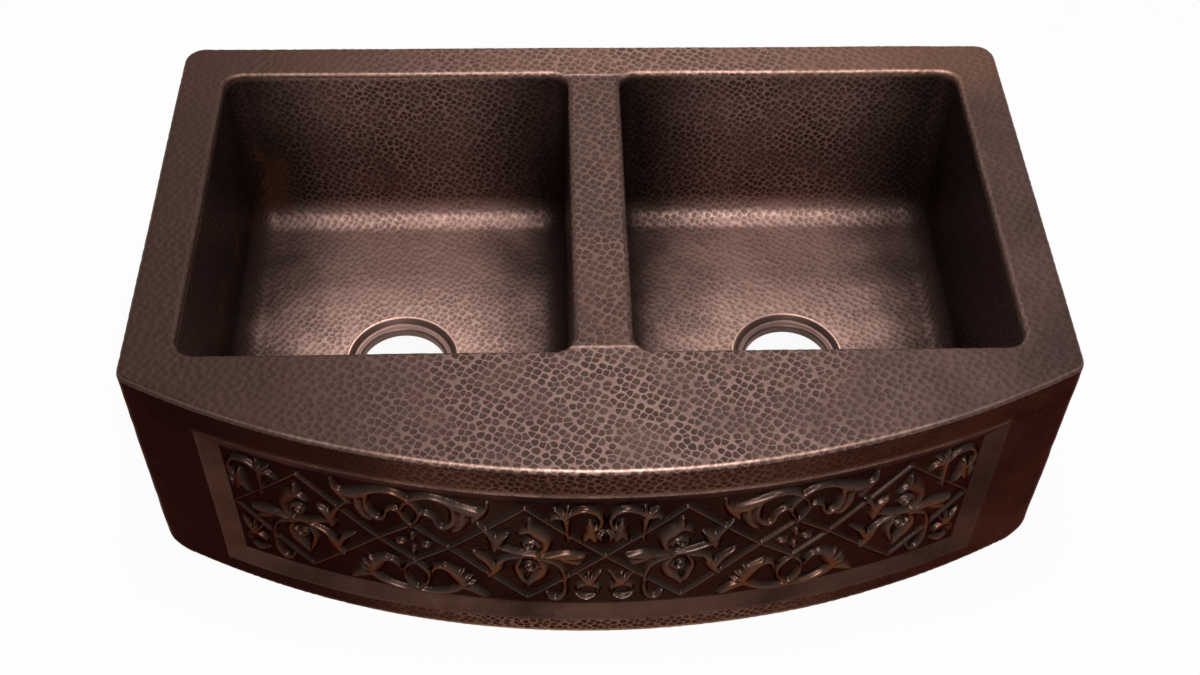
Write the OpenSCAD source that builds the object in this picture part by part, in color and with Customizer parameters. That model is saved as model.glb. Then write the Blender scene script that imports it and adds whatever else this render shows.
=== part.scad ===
// Hammered copper kitchen sink with two bowls and a bowed apron front, built from welded sheet pieces.
// Origin: centre of the deck's underside, +X right, +Y to the wall, +Z up, apron facing -Y. Millimetres.

/* [Overall size] */
// Width of the sink over its two sides
sink_w = 838; // [760:1:920]
// Depth over all, wall edge to the middle of the bowed apron
sink_d = 545; // [480:1:620]
// Radius of the bow in plan
arc_r = 873.5; // [700:0.5:1400]
// Height of the apron, deck top to bottom edge
apron_h = 254; // [200:1:300]
// Thickness of the copper sheet
sheet = 2; // [1.6:0.1:3]

/* [Deck] */
// Width of the strip at each side of the bowls
side_strip = 46; // [36:1:60]
// Width of the strip behind the bowls
back_strip = 43; // [36:1:60]
// Width of the divider between the bowls
divider_w = 52; // [50:1:70]
// Depth of the front ledge at the corners
corner_ledge = 24; // [20:1:40]
// Radius of the bowl openings in plan
open_r = 18; // [14:1:30]
// Outer radius of every rolled sheet edge
roll_r = 5; // [4:0.5:7]
// Plan radius of the two back corners
back_r = 20; // [12:1:30]
// Plan radius of the two front corners
front_r = 15; // [10:1:22]
// Drop of the lip around the back and sides
lip_h = 38; // [20:1:45]
// Distance from the welds between deck strips to the opening's straight edge
seam_in = 3.5; // [1:0.5:8]

/* [Bowls] */
// Depth from the deck top to the bowl floor at the walls
bowl_depth = 202; // [170:1:215]
// Inward lean of each bowl wall over its height
bowl_lean = 4; // [0:0.5:10]
// Radius between wall and floor
floor_r = 25; // [18:1:35]
// Fall of the floor towards the drain
floor_fall = 3; // [1:0.5:6]

/* [Drains] */
// Diameter of the drain hole, a standard 3 1/2 inch
drain_d = 88.9; // [88:0.1:90]
// Outer radius of the pressed drain seat
seat_r = 58; // [54:1:64]
// Depth of the seat under the bowl floor
seat_drop = 6; // [4:0.5:9]
// Length of the collar that the drain fitting clamps
collar_h = 10; // [8:1:16]
// Distance from the back edge to the drain centres
drain_back = 250; // [220:1:280]

/* [Apron] */
// Height of the plain band over the panel
top_rail_h = 38; // [30:1:50]
// Height of the plain band under the panel
bottom_rail_h = 20; // [14:1:30]
// Distance from the bent corners to the ends of the frame, along the curve
stile_w = 63; // [45:1:90]
// Width of the bevel around the panel
bevel_w = 18; // [12:1:24]
// Depth of the panel behind the face
recess = 8; // [6:0.5:12]
// Depth of the side returns behind the front corners
return_d = 60; // [40:1:80]
// Distance from the bent corners to the welds with the apron's bands, past the rounded feet
weld_in = 19.5; // [19:0.5:30]
// Radius of the apron's two lower corners
foot_r = 25; // [15:1:35]
// Width of the flat of each turned foot, inside its rounded corner
foot_flat = 6; // [3:1:12]
// Depth of the hem turned under the bottom band
hem_d = 14; // [8:1:20]

/* [Ornament] */
// Half length of the ornament as drawn, which is scaled to the panel
drawn_half = 347; // [340:1:360]
// Half height of the ornament as drawn, which is scaled to the panel
drawn_rise = 80; // [79:1:90]
// Height of the scrolls above the panel
relief = 4; // [3:0.5:5]
// Height of the trellis bars above the panel
bar_relief = 3.2; // [2:0.1:4]
// Half width of a trellis bar
bar_w = 2.7; // [2:0.1:3.5]
// Length of one repeat of the pattern along the curve, as drawn
repeat = 345; // [320:1:350]
// Half height of the trellis
trellis_h = 71; // [60:1:74]
// Half height of the small diamond
small_h = 28; // [20:1:34]

/* [Hidden] */
$fn = 64;
arc_fn = 360;
half_w = sink_w / 2;
back_y = sink_d / 2;
apex_y = -back_y;
arc_y = apex_y + arc_r;
side_y = round(10 * (arc_y - sqrt(arc_r * arc_r - half_w * half_w))) / 10;
corner_x = half_w - front_r;
corner_y = arc_y - sqrt(pow(arc_r - front_r, 2) - pow(corner_x, 2));
corner_a = asin(corner_x / (arc_r - front_r));
deg_per_mm = 180 / (PI * arc_r);
frame_half = corner_a / deg_per_mm - stile_w;
frame_a = frame_half * deg_per_mm;
panel_a = (frame_half - bevel_w) * deg_per_mm;
weld_a = corner_a - weld_in * deg_per_mm;
roll_z = sheet - roll_r;
foot_z = sheet - apron_h;
top_z = sheet - top_rail_h;
low_z = foot_z + bottom_rail_h;
panel_top = top_z - bevel_w;
panel_low = low_z + bevel_w;
panel_mid = (panel_top + panel_low) / 2;
face_r = arc_r - recess;
scale_u = (frame_half - bevel_w) / drawn_half;
scale_v = (panel_top - panel_low) / 2 / drawn_rise;
scale_w = min(scale_u, scale_v);
open_x0 = divider_w / 2;
open_x1 = half_w - side_strip;
open_y0 = side_y + corner_ledge;
open_y1 = back_y - back_strip;
seam_back = open_y1 - seam_in;
seam_front = open_y0 + seam_in;
return_y = side_y + return_d;
bowl_x = (open_x0 + open_x1) / 2;
drain_y = back_y - drain_back;
drain_r = drain_d / 2;
floor_z = sheet - bowl_depth;
sump_z = floor_z - floor_fall;
lip_z = sheet - lip_h;
big = 1500;

deck_c = [0.45, 0.29, 0.24];
bowl_c = [0.36, 0.20, 0.16];
apron_c = [0.40, 0.24, 0.19];
panel_c = [0.30, 0.18, 0.15];
ring_c = [0.52, 0.33, 0.27];

// Outlines in plan

// The sink's outline, moved inwards by o
module outline(o) {
    intersection() {
        translate([0, arc_y]) circle(r = arc_r - o, $fn = arc_fn);
        polygon([[0, arc_y], [-tan(corner_a) * big, arc_y - big], [tan(corner_a) * big, arc_y - big]]);
        translate([-half_w, -half_w]) square([sink_w, half_w + back_y - back_r]);
    }
    translate([-half_w + o, corner_y]) square([sink_w - 2 * o, back_y - back_r - corner_y]);
    translate([-half_w + back_r, corner_y]) square([sink_w - 2 * back_r, back_y - o - corner_y]);
    for (s = [-1, 1]) {
        translate([s * corner_x, corner_y]) circle(r = front_r - o);
        translate([s * (half_w - back_r), back_y - back_r]) circle(r = back_r - o);
    }
}

// One bowl opening, grown by o, s = -1 left and 1 right
module opening(s, o) {
    xa = s > 0 ? open_x0 : -open_x1;
    w = open_x1 - open_x0;
    d = open_y1 - open_y0;
    translate([xa - o, open_y0 + open_r]) square([w + 2 * o, d - 2 * open_r]);
    translate([xa + open_r, open_y0 - o]) square([w - 2 * open_r, d + 2 * o]);
    for (x = [xa + open_r, xa + w - open_r], y = [open_y0 + open_r, open_y1 - open_r])
        translate([x, y]) circle(r = open_r + o);
}

// Quarter of sheet rolled from flat to upright, its outer face at 0 and the sheet lying on the -X side
module roll_profile() {
    intersection() {
        translate([-roll_r, roll_z]) difference() {
            circle(r = roll_r);
            circle(r = roll_r - sheet);
        }
        translate([-roll_r, roll_z]) square([roll_r, roll_r]);
    }
    translate([-roll_r - 3, 0]) square([3.01, sheet]);
}

// A rolled edge along a straight line from (x, y), heading a, length l, the sheet on its left
module roll_line(x, y, a, l) {
    translate([x, y, 0]) rotate([0, 0, a]) rotate([90, 0, 90]) linear_extrude(l) mirror([1, 0]) roll_profile();
}

// A rolled edge around the outside of a corner of radius r
module roll_out(x, y, r, a0, a1) {
    translate([x, y, 0]) rotate([0, 0, a0]) rotate_extrude(angle = a1 - a0, $fn = r > 100 ? arc_fn : $fn)
        translate([r, 0]) roll_profile();
}

// A rolled edge around the inside of an opening's corner of radius r
module roll_in(x, y, r, a0, a1) {
    translate([x, y, 0]) rotate([0, 0, a0]) rotate_extrude(angle = a1 - a0)
        translate([r, 0]) mirror([1, 0]) roll_profile();
}

// The flat of the deck between y0 and y1
module deck_flat(y0, y1) {
    linear_extrude(sheet) intersection() {
        difference() {
            outline(roll_r);
            opening(-1, roll_r);
            opening(1, roll_r);
        }
        translate([-half_w, y0]) square([sink_w, y1 - y0]);
    }
}

// Rolled corners of one opening at its front or back, t = 1 back and -1 front, cut at the weld
module open_corners(s, t, keep_end) {
    xa = s > 0 ? open_x0 : -open_x1;
    w = open_x1 - open_x0;
    y = t > 0 ? open_y1 - open_r : open_y0 + open_r;
    seam = t > 0 ? seam_back : seam_front;
    intersection() {
        union() {
            roll_in(xa + open_r, y, open_r, t > 0 ? 90 : 180, t > 0 ? 180 : 270);
            roll_in(xa + w - open_r, y, open_r, t > 0 ? 0 : 270, t > 0 ? 90 : 360);
        }
        translate([-half_w, (t > 0) == keep_end ? seam : seam - 60, roll_z - 1])
            cube([sink_w, 60, roll_r + 2]);
    }
}

// Deck strips

module back_deck() {
    color(deck_c) {
        deck_flat(seam_back, back_y);
        roll_line(half_w - back_r, back_y, 180, sink_w - 2 * back_r);
        roll_out(half_w - back_r, back_y - back_r, back_r, 0, 90);
        roll_out(-half_w + back_r, back_y - back_r, back_r, 90, 180);
        roll_line(half_w, seam_back, 90, back_y - back_r - seam_back);
        roll_line(-half_w, back_y - back_r, 270, back_y - back_r - seam_back);
        for (s = [-1, 1]) {
            roll_line(s * bowl_x - (open_x1 - open_x0) / 2 + open_r, open_y1, 0,
                open_x1 - open_x0 - 2 * open_r);
            open_corners(s, 1, true);
        }
        translate([0, 0, lip_z]) linear_extrude(roll_z - lip_z) intersection() {
            difference() {
                outline(0);
                outline(sheet);
            }
            translate([-half_w, seam_back]) square([sink_w, back_y - seam_back]);
        }
    }
}

// Side strip of the right side, the left one is its mirror image
module side_deck() {
    intersection() {
        deck_flat(seam_front, seam_back);
        translate([bowl_x, seam_front, -1]) cube([half_w, seam_back - seam_front, 4]);
    }
    roll_line(half_w, seam_front, 90, seam_back - seam_front);
    roll_line(open_x1, open_y1 - open_r, 270, open_y1 - open_y0 - 2 * open_r);
    for (t = [-1, 1]) intersection() {
        open_corners(1, t, false);
        translate([bowl_x, -half_w, -20]) cube([half_w, sink_w, 40]);
    }
    translate([half_w - sheet, return_y, lip_z]) cube([sheet, seam_back - return_y, roll_z - lip_z]);
}

module right_deck() {
    color(deck_c) side_deck();
}

module left_deck() {
    color(deck_c) mirror([1, 0, 0]) side_deck();
}

module divider_deck() {
    color(deck_c) {
        intersection() {
            deck_flat(seam_front, seam_back);
            translate([-bowl_x, seam_front, -1]) cube([2 * bowl_x, seam_back - seam_front, 4]);
        }
        roll_line(open_x0, open_y0 + open_r, 90, open_y1 - open_y0 - 2 * open_r);
        roll_line(-open_x0, open_y1 - open_r, 270, open_y1 - open_y0 - 2 * open_r);
        for (s = [-1, 1], t = [-1, 1]) intersection() {
            open_corners(s, t, false);
            translate([-bowl_x, -half_w, -20]) cube([2 * bowl_x, sink_w, 40]);
        }
    }
}

// Wedge that holds all between the angles -a and a
module front_wedge(a) {
    translate([0, 0, foot_z - 5]) linear_extrude(apron_h + 10)
        polygon([[0, arc_y], [-tan(a) * big, arc_y - big], [tan(a) * big, arc_y - big]]);
}

// Rolled edges of the front ledge's left end
module front_end() {
    difference() {
        intersection() {
            translate([-corner_x, corner_y, 0]) rotate_extrude() translate([front_r, 0]) roll_profile();
            translate([-half_w - 1, corner_y - 2 * front_r, roll_z - 1])
                cube([2 * front_r, 2 * front_r, roll_r + 2]);
        }
        front_wedge(corner_a);
    }
    roll_line(-half_w, seam_front, 270, seam_front - corner_y);
    roll_line(-open_x0 - open_r, open_y0, 180, open_x1 - open_x0 - 2 * open_r);
    open_corners(-1, -1, true);
}

// Bowed ledge with the rolled nose over the apron
module front_deck() {
    color(deck_c) {
        deck_flat(apex_y, seam_front);
        intersection() {
            translate([0, arc_y, 0]) rotate_extrude($fn = arc_fn) translate([arc_r, 0]) roll_profile();
            front_wedge(corner_a);
        }
        front_end();
        mirror([1, 0, 0]) front_end();
    }
}

// Bowls and drains

// Rounded tub for the right bowl, its walls moved out by o
module tub(o, top) {
    hull() {
        translate([0, 0, roll_z - 1]) linear_extrude(1 + top) opening(1, o);
        for (x = [open_x0, open_x1], y = [open_y0, open_y1]) {
            sx = x < bowl_x ? 1 : -1;
            sy = y < 0 ? 1 : -1;
            translate([x + sx * (bowl_lean + floor_r), y + sy * (bowl_lean + floor_r), floor_z + floor_r])
                sphere(r = floor_r + o, $fn = 32);
        }
        translate([bowl_x, drain_y, sump_z - o]) cylinder(r = seat_r, h = 0.1);
    }
}

module bowl() {
    difference() {
        tub(sheet, 0);
        tub(0, 10);
        translate([bowl_x, drain_y, sump_z - 10]) cylinder(r = seat_r, h = 20);
    }
}

module right_bowl() {
    color(bowl_c) bowl();
}

module left_bowl() {
    color(bowl_c) mirror([1, 0, 0]) bowl();
}

// Pressed seat and collar, welded into the bowl's floor
module drain_ring() {
    seat_z = sump_z - seat_drop;
    end_z = seat_z - collar_h;
    slope = seat_drop * 0.7;
    translate([bowl_x, drain_y, 0]) rotate_extrude() polygon([
        [seat_r, sump_z],
        [seat_r - 2, sump_z],
        [seat_r - 2 - slope, seat_z + 0.4],
        [seat_r - 3 - slope, seat_z],
        [drain_r + 1.6, seat_z],
        [drain_r + 0.4, seat_z - 0.4],
        [drain_r, seat_z - 1.6],
        [drain_r, end_z],
        [drain_r + sheet, end_z],
        [drain_r + sheet, seat_z - sheet],
        [seat_r - 3.4 - slope, seat_z - sheet],
        [seat_r - 2.6, sump_z - sheet],
        [seat_r, sump_z - sheet]
    ]);
}

module right_drain_ring() {
    color(ring_c) drain_ring();
}

module left_drain_ring() {
    color(ring_c) mirror([1, 0, 0]) drain_ring();
}

// Apron frame

// A sheet profile (radius, z) swept along the bow from angle a0 to a1, 0 being the middle
module bowed(a0, a1) {
    translate([0, arc_y, 0]) rotate([0, 0, 270 + a0]) rotate_extrude(angle = a1 - a0, $fn = arc_fn) children();
}

module band(z0, z1, a0, a1) {
    bowed(a0, a1) translate([arc_r - sheet, z0]) square([sheet, z1 - z0]);
}

// Elevation of the apron, with the two rounded lower corners
module elevation(top) {
    rotate([90, 0, 0]) linear_extrude(big, center = true) {
        translate([-half_w, foot_z + foot_r]) square([sink_w, top - foot_z - foot_r]);
        translate([-half_w + foot_r, foot_z]) square([sink_w - 2 * foot_r, foot_r]);
        for (s = [-1, 1]) translate([s * (half_w - foot_r), foot_z + foot_r]) circle(r = foot_r);
    }
}

module apron_top_rail() {
    color(apron_c) band(top_z, roll_z, -weld_a, weld_a);
}

module apron_right_stile() {
    color(apron_c) band(low_z, top_z, frame_a, weld_a);
}

module apron_left_stile() {
    color(apron_c) band(low_z, top_z, -weld_a, -frame_a);
}

// Lower band with its hem turned under
module apron_bottom_rail() {
    color(apron_c) bowed(-weld_a, weld_a) polygon([
        [arc_r - hem_d, foot_z],
        [arc_r, foot_z],
        [arc_r, low_z],
        [arc_r - sheet, low_z],
        [arc_r - sheet, foot_z + sheet],
        [arc_r - hem_d, foot_z + sheet]
    ]);
}

// End of the bow and bent corner of the right side, whole rings cut by planes
module return_bend() {
    wall_h = roll_z - foot_z;
    intersection() {
        translate([0, arc_y, foot_z]) rotate_extrude($fn = arc_fn)
            translate([arc_r - sheet, 0]) square([sheet, wall_h]);
        front_wedge(corner_a);
        translate([corner_x - foot_r, -half_w, foot_z - 1]) cube([foot_r + front_r, half_w, wall_h + 2]);
    }
    difference() {
        intersection() {
            translate([corner_x, corner_y, foot_z]) rotate_extrude()
                translate([front_r - sheet, 0]) square([sheet, wall_h]);
            translate([corner_x - front_r, corner_y - 2 * front_r, foot_z - 1])
                cube([2 * front_r + 1, 2 * front_r, wall_h + 2]);
        }
        front_wedge(corner_a);
    }
}

// Turned foot of the right side, inside the bend and under the side wall
module return_foot() {
    foot_x = half_w - foot_r;
    intersection() {
        union() {
            translate([foot_x, return_y, foot_z + foot_r]) rotate([90, 0, 0]) intersection() {
                linear_extrude(big) difference() {
                    circle(r = foot_r);
                    circle(r = foot_r - sheet);
                }
                translate([0, -foot_r, -1]) cube([foot_r, foot_r, big + 2]);
            }
            translate([foot_x - foot_flat, return_y - big, foot_z]) cube([foot_flat, big, sheet]);
        }
        translate([0, 0, foot_z - 1]) linear_extrude(foot_r + 2) {
            outline(sheet / 2);
            translate([foot_x - foot_flat, corner_y]) square([foot_r + foot_flat, return_y - corner_y]);
        }
    }
}

// Bent corner, side wall and turned foot of the right side
module side_return() {
    wall_z = foot_z + foot_r;
    difference() {
        union() {
            intersection() {
                return_bend();
                elevation(roll_z + 1);
            }
            translate([half_w - sheet, corner_y, wall_z]) cube([sheet, return_y - corner_y, roll_z - wall_z]);
            return_foot();
        }
        front_wedge(weld_a);
    }
}

module right_side_return() {
    color(apron_c) side_return();
}

module left_side_return() {
    color(apron_c) mirror([1, 0, 0]) side_return();
}

// Bevel frame with mitred corners

mid_a = (frame_a + panel_a) / 2;
cut_x0 = arc_r * sin(frame_a - mid_a);
cut_x1 = -face_r * sin(mid_a - panel_a);

// Half space beside the upper right mitre, side 1 outside and below it, side -1 inside and above it
module mitre(side) {
    n = norm([cut_x0 - cut_x1, bevel_w]);
    d = [(cut_x0 - cut_x1) / n, bevel_w / n] * 30;
    p = [cut_x1, panel_top] - d;
    q = [cut_x0, top_z] + d;
    translate([0, arc_y, 0]) rotate([0, 0, mid_a]) translate([0, -arc_r + 40, 0]) rotate([90, 0, 0])
        linear_extrude(80) polygon(side > 0
            ? [p, q, [q[0] + 20, q[1]], [q[0] + 20, p[1]]]
            : [p, q, [q[0], q[1] + 20], [p[0] - 20, q[1] + 20], [p[0] - 20, p[1]]]);
}

module lower_half() {
    translate([0, 0, 2 * panel_mid]) mirror([0, 0, 1]) children();
}

module bevel_top_shape() {
    difference() {
        bowed(-frame_a, frame_a) polygon([[arc_r, top_z], [face_r, panel_top],
            [face_r - sheet, panel_top], [arc_r - sheet, top_z]]);
        mitre(1);
        mirror([1, 0, 0]) mitre(1);
    }
}

module bevel_side_shape() {
    difference() {
        translate([0, arc_y, low_z]) linear_extrude(top_z - low_z) polygon([
            arc_r * [sin(frame_a), -cos(frame_a)], (arc_r - sheet) * [sin(frame_a), -cos(frame_a)],
            (face_r - sheet) * [sin(panel_a), -cos(panel_a)], face_r * [sin(panel_a), -cos(panel_a)]]);
        mitre(-1);
        lower_half() mitre(-1);
    }
}

module bevel_top() {
    color(panel_c) bevel_top_shape();
}

module bevel_bottom() {
    color(panel_c) lower_half() bevel_top_shape();
}

module bevel_right() {
    color(panel_c) bevel_side_shape();
}

module bevel_left() {
    color(panel_c) mirror([1, 0, 0]) bevel_side_shape();
}

// Embossed panel

// One joint of a raised stroke at p = [along the curve, up from the middle line, half width]
module joint(p, h) {
    translate([0, arc_y, 0]) rotate([0, 0, p[0] * scale_u * deg_per_mm])
        translate([0, 0.5 - face_r, panel_mid + p[1] * scale_v]) rotate([90, 0, 0])
            cylinder(h = 0.5 + h * min(1, 0.5 + p[2] / 4), r1 = (p[2] + 0.3) * scale_w, r2 = 0, $fn = 6);
}

// A raised stroke through a row of joints
module stroke(pts, h = relief) {
    for (i = [0 : len(pts) - 2]) hull() {
        joint(pts[i], h);
        joint(pts[i + 1], h);
    }
}

// Spiral around c from radius ra to rb, angle aa to ab, half width wa to wb
function curl(c, ra, rb, aa, ab, wa, wb, n) = [for (i = [0 : n]) let (t = i / n, r = ra + (rb - ra) * t,
    a = aa + (ab - aa) * t) [c[0] + r * cos(a), c[1] + r * sin(a), wa + (wb - wa) * t]];

big_x = 70.5;
cross_x = 140;

// Trellis bars of half a repeat, t = 1 for the bar that rises first and -1 for the other
module bars(t) {
    legs = [[0, 0], [big_x, t * trellis_h], [cross_x, 0], [repeat / 2, -t * small_h]];
    for (i = [0 : 2]) {
        n = i < 2 ? 3 : 1;
        stroke([for (k = [0 : n]) let (p = legs[i] + (legs[i + 1] - legs[i]) * k / n) [p[0], p[1], bar_w]],
            bar_relief);
    }
}

// Hooked scroll and hanging bell beside the middle line, over the trellis
module upper_scroll() {
    stroke([[33, 26, 1.6], [34, 45, 2], [35, 58, 3.6], [39, 66, 2.8], [45, 72, 0.8]]);
    stroke([[35, 60, 3], [34, 69, 2], [33, 76, 0.8]]);
    stroke([[36, 60, 2.4], [44, 62, 2.4], [50, 55, 0.8]]);
    stroke([[34, 62, 2], [27, 69, 2.2], [18, 72, 2.6], [9, 68, 2.6], [4, 57, 2.2], [6, 46, 2], [12, 43, 2]]);
    stroke([[14, 54, 1.4], [13, 43, 5], [12, 34, 4.6], [8, 23, 0.8]]);
    stroke([[15, 36, 4], [20, 24, 0.8]]);
    stroke([[1.5, 38, 1], [5, 34, 2.4], [3, 21, 0.8]]);
}

// Little crown over a bowed scroll, under the trellis
module lower_scroll() {
    stroke([[7, -61, 0.9], [6, -51, 1.6], [11, -45, 2.2], [18, -44, 2], [24, -49, 1.6], [24, -56, 0.9]]);
    stroke([[13, -44, 4], [9, -34, 2.2], [4, -25, 0.8]]);
    stroke([[14, -43, 3.4], [15, -28, 0.8]]);
    stroke([[15, -43, 3], [20, -35, 2.2], [25, -27, 0.8]]);
    stroke([[8, -65, 0.8], [17, -68, 2], [26, -64, 0.8]]);
}

// Palmette inside a big diamond: bud over, leaf under, a leaf inwards and a tulip outwards
module palmette() {
    stroke([[61, 0, 1.8], [54, 11, 3], [53, 24, 5], [60, 34, 7], [66, 43, 4], [67, 55, 0.8]]);
    stroke([[64, 38, 4.6], [71, 39, 3], [77, 33, 0.8]]);
    stroke(curl([67, 17], 8, 2.5, 190, -160, 2, 1.6, 6));
    stroke([[58, -1, 1], [46, 0, 3.6], [34, 0, 6.4], [25, 0, 4.4], [18, 2, 0.9]]);
    stroke([[38, -4, 3.4], [29, -8, 3], [22, -11, 0.8]]);
    stroke([[62, 1, 2.8], [75, 3, 2.8], [87, 8, 2.2], [96, 12, 1.8]]);
    stroke([[99, 3, 1], [97, 15, 5.8], [92, 25, 4], [86, 31, 0.8]]);
    stroke([[98, 18, 4.8], [104, 31, 2.6], [113, 43, 0.8]]);
    stroke([[63, -2, 2.2], [50, -7, 2], [41, -16, 1.8], [37, -30, 2], [36, -46, 2], [37, -60, 2.6],
        [42, -69, 3.2], [49, -68, 2.6], [53, -60, 1]]);
    stroke([[72, -1, 1.8], [86, -5, 1.8], [96, -14, 1.8], [105, -38, 1.6]]);
    stroke([[104, -38, 1], [97, -24, 4.8], [93, -13, 3], [88, -5, 0.8]]);
    stroke([[101, -25, 3.4], [107, -12, 3.4], [118, -1, 0.8]]);
    stroke([[60, -5, 1.6], [55, -18, 3.6], [59, -31, 5.8], [66, -40, 3.6], [71, -51, 0.8]]);
    stroke([[75, -6, 1.4], [79, -19, 2.6], [76, -33, 3], [71, -47, 0.8]]);
    stroke(curl([67, -17], 7, 2.5, 170, 470, 1.8, 1.5, 5));
}

// Big C scrolls over and under a small diamond
module side_scrolls() {
    stroke([[103, 77, 0.8], [105, 67, 2.2], [112, 57, 5.2], [118, 45, 0.9]]);
    stroke([[110, 61, 3.6], [121, 60, 6.6], [131, 65, 5.2], [140, 71, 3.4], [150, 75, 2.8], [161, 74, 2.6],
        [171, 67, 2.2], [179, 55, 1.8], [180, 43, 1.8], [172, 27, 1.4]]);
    stroke([[135, 67, 3], [133, 54, 2.8], [135, 40, 3.2], [143, 32, 3], [149, 36, 2.2], [152, 46, 2],
        [159, 51, 1.8], [163, 45, 1]]);
    stroke([[125, 57, 2.4], [126, 45, 5.2], [130, 34, 3.6], [137, 27, 0.8]]);
    stroke([[173, -29, 1.4], [164, -38, 1.8], [161, -50, 1.8], [164, -63, 2], [173, -73, 2]]);
    stroke([[173, -75, 2.2], [160, -76, 2.6], [147, -73, 3], [135, -66, 4], [129, -56, 6], [134, -44, 7.4],
        [141, -34, 4.6], [146, -27, 0.9]]);
    stroke([[141, -36, 2.6], [150, -31, 2.4], [156, -38, 2], [157, -48, 1]]);
    stroke([[134, -44, 4.4], [128, -34, 0.8]]);
    stroke([[131, -50, 4.4], [121, -43, 0.8]]);
    stroke([[129, -56, 4.4], [118, -52, 0.8]]);
    stroke([[128, -61, 4.6], [118, -66, 4.4], [107, -74, 0.8]]);
    stroke([[157, 0, 1], [161, 0, 3], [165, 0, 1]]);
    stroke([[172.5, 15, 0.8], [172.5, 10, 2.4], [172.5, 5, 0.8]]);
    stroke([[172.5, -15, 0.8], [172.5, -10, 2.4], [172.5, -5, 0.8]]);
}

module half_repeat() {
    bars(1);
    bars(-1);
    upper_scroll();
    lower_scroll();
    palmette();
    side_scrolls();
}

// The motif mirrored about the small diamond's middle
module across() {
    a = repeat / 2 * scale_u * deg_per_mm;
    translate([0, arc_y, 0]) rotate([0, 0, a]) mirror([1, 0, 0]) rotate([0, 0, -a])
        translate([0, -arc_y, 0]) children();
}

module apron_panel() {
    color(panel_c) union() {
        bowed(-panel_a, panel_a) translate([face_r - sheet, panel_low]) square([sheet, panel_top - panel_low]);
        for (s = [0, 1]) mirror([s, 0, 0]) {
            half_repeat();
            across() half_repeat();
        }
    }
}

back_deck();
left_deck();
right_deck();
divider_deck();
front_deck();
left_bowl();
right_bowl();
left_drain_ring();
right_drain_ring();
apron_top_rail();
apron_bottom_rail();
apron_left_stile();
apron_right_stile();
bevel_top();
bevel_bottom();
bevel_left();
bevel_right();
apron_panel();
left_side_return();
right_side_return();
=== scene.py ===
# %% [markdown]
# # A hammered copper kitchen sink
# The real sink is welded from copper sheet about 2 mm thick: five strips make the deck, two tubs are the
# bowls, and a bowed apron with an embossed panel closes the front. This lesson makes it the way a
# coppersmith does. A flat sheet is cut, hammered, bent and welded, and at the end its brown patina is
# rubbed bright on the edges. The measured solids are loaded first, as a fixed frame, and every new piece
# takes the place of one of them.

# %% Load the measured solids
import math

import bmesh
import bpy
import numpy as np
from mathutils import Matrix, Vector
from mathutils.geometry import delaunay_2d_cdt


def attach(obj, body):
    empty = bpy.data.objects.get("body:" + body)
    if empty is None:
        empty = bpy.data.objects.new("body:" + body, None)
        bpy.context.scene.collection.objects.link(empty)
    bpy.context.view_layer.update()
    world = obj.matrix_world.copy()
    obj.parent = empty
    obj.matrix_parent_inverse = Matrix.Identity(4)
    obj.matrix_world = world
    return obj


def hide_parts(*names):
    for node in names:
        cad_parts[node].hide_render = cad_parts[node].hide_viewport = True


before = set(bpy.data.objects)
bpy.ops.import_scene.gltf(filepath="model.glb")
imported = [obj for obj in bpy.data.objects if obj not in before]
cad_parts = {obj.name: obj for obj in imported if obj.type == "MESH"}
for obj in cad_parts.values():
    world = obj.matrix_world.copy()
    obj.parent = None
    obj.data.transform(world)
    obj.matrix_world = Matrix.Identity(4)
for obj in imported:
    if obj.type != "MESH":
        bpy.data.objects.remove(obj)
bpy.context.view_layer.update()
scene = bpy.context.scene
print("solids in the frame:", len(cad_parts))

# %% [markdown]
# ## Sizes
# All sizes are in millimetres and are the same as in the measured solids. The origin is the middle of the
# deck's underside, X to the right, Y to the wall, Z up. Blender works in metres, so points are scaled once,
# when a mesh is made. They could be measured on the loaded solids, but written out by name they can be
# checked with a tape measure, and each later step shares them.

# %% Sizes of the sink
sheet = 2.0
half_width, back_edge, apex = 419.0, 272.5, -272.5
bow_radius = 873.5
bow_y = apex + bow_radius
front_corner, front_round = (404.0, -156.5), 15.0
back_round, edge_roll, lip_low = 20.0, 5.0, -36.0
hole_x, hole_y, hole_round = (26.0, 373.0), (-141.4, 229.5), 18.0
seam_back, seam_front, return_back = 226.0, -137.9, -105.4
bowl_mid = ((hole_x[0] + hole_x[1]) / 2, (hole_y[0] + hole_y[1]) / 2)
drain_mid, drain_hole, seat_round, sump = (bowl_mid[0], 22.5), 44.45, 58.0, -203.0
corner_run, corner_rise = 8, 15
corner_turn = math.atan(corner_run / corner_rise)
corner_u = bow_radius * corner_turn
weld_u, frame_u = corner_u - 19.5, corner_u - 63.0
frame_top, frame_low, bevel, recess = -36.0, -232.0, 18.0, 8.0
foot, foot_round, hem = -252.0, 25.0, 14.0
print("apron along its curve, weld to weld:", round(2 * weld_u), "mm")
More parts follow.
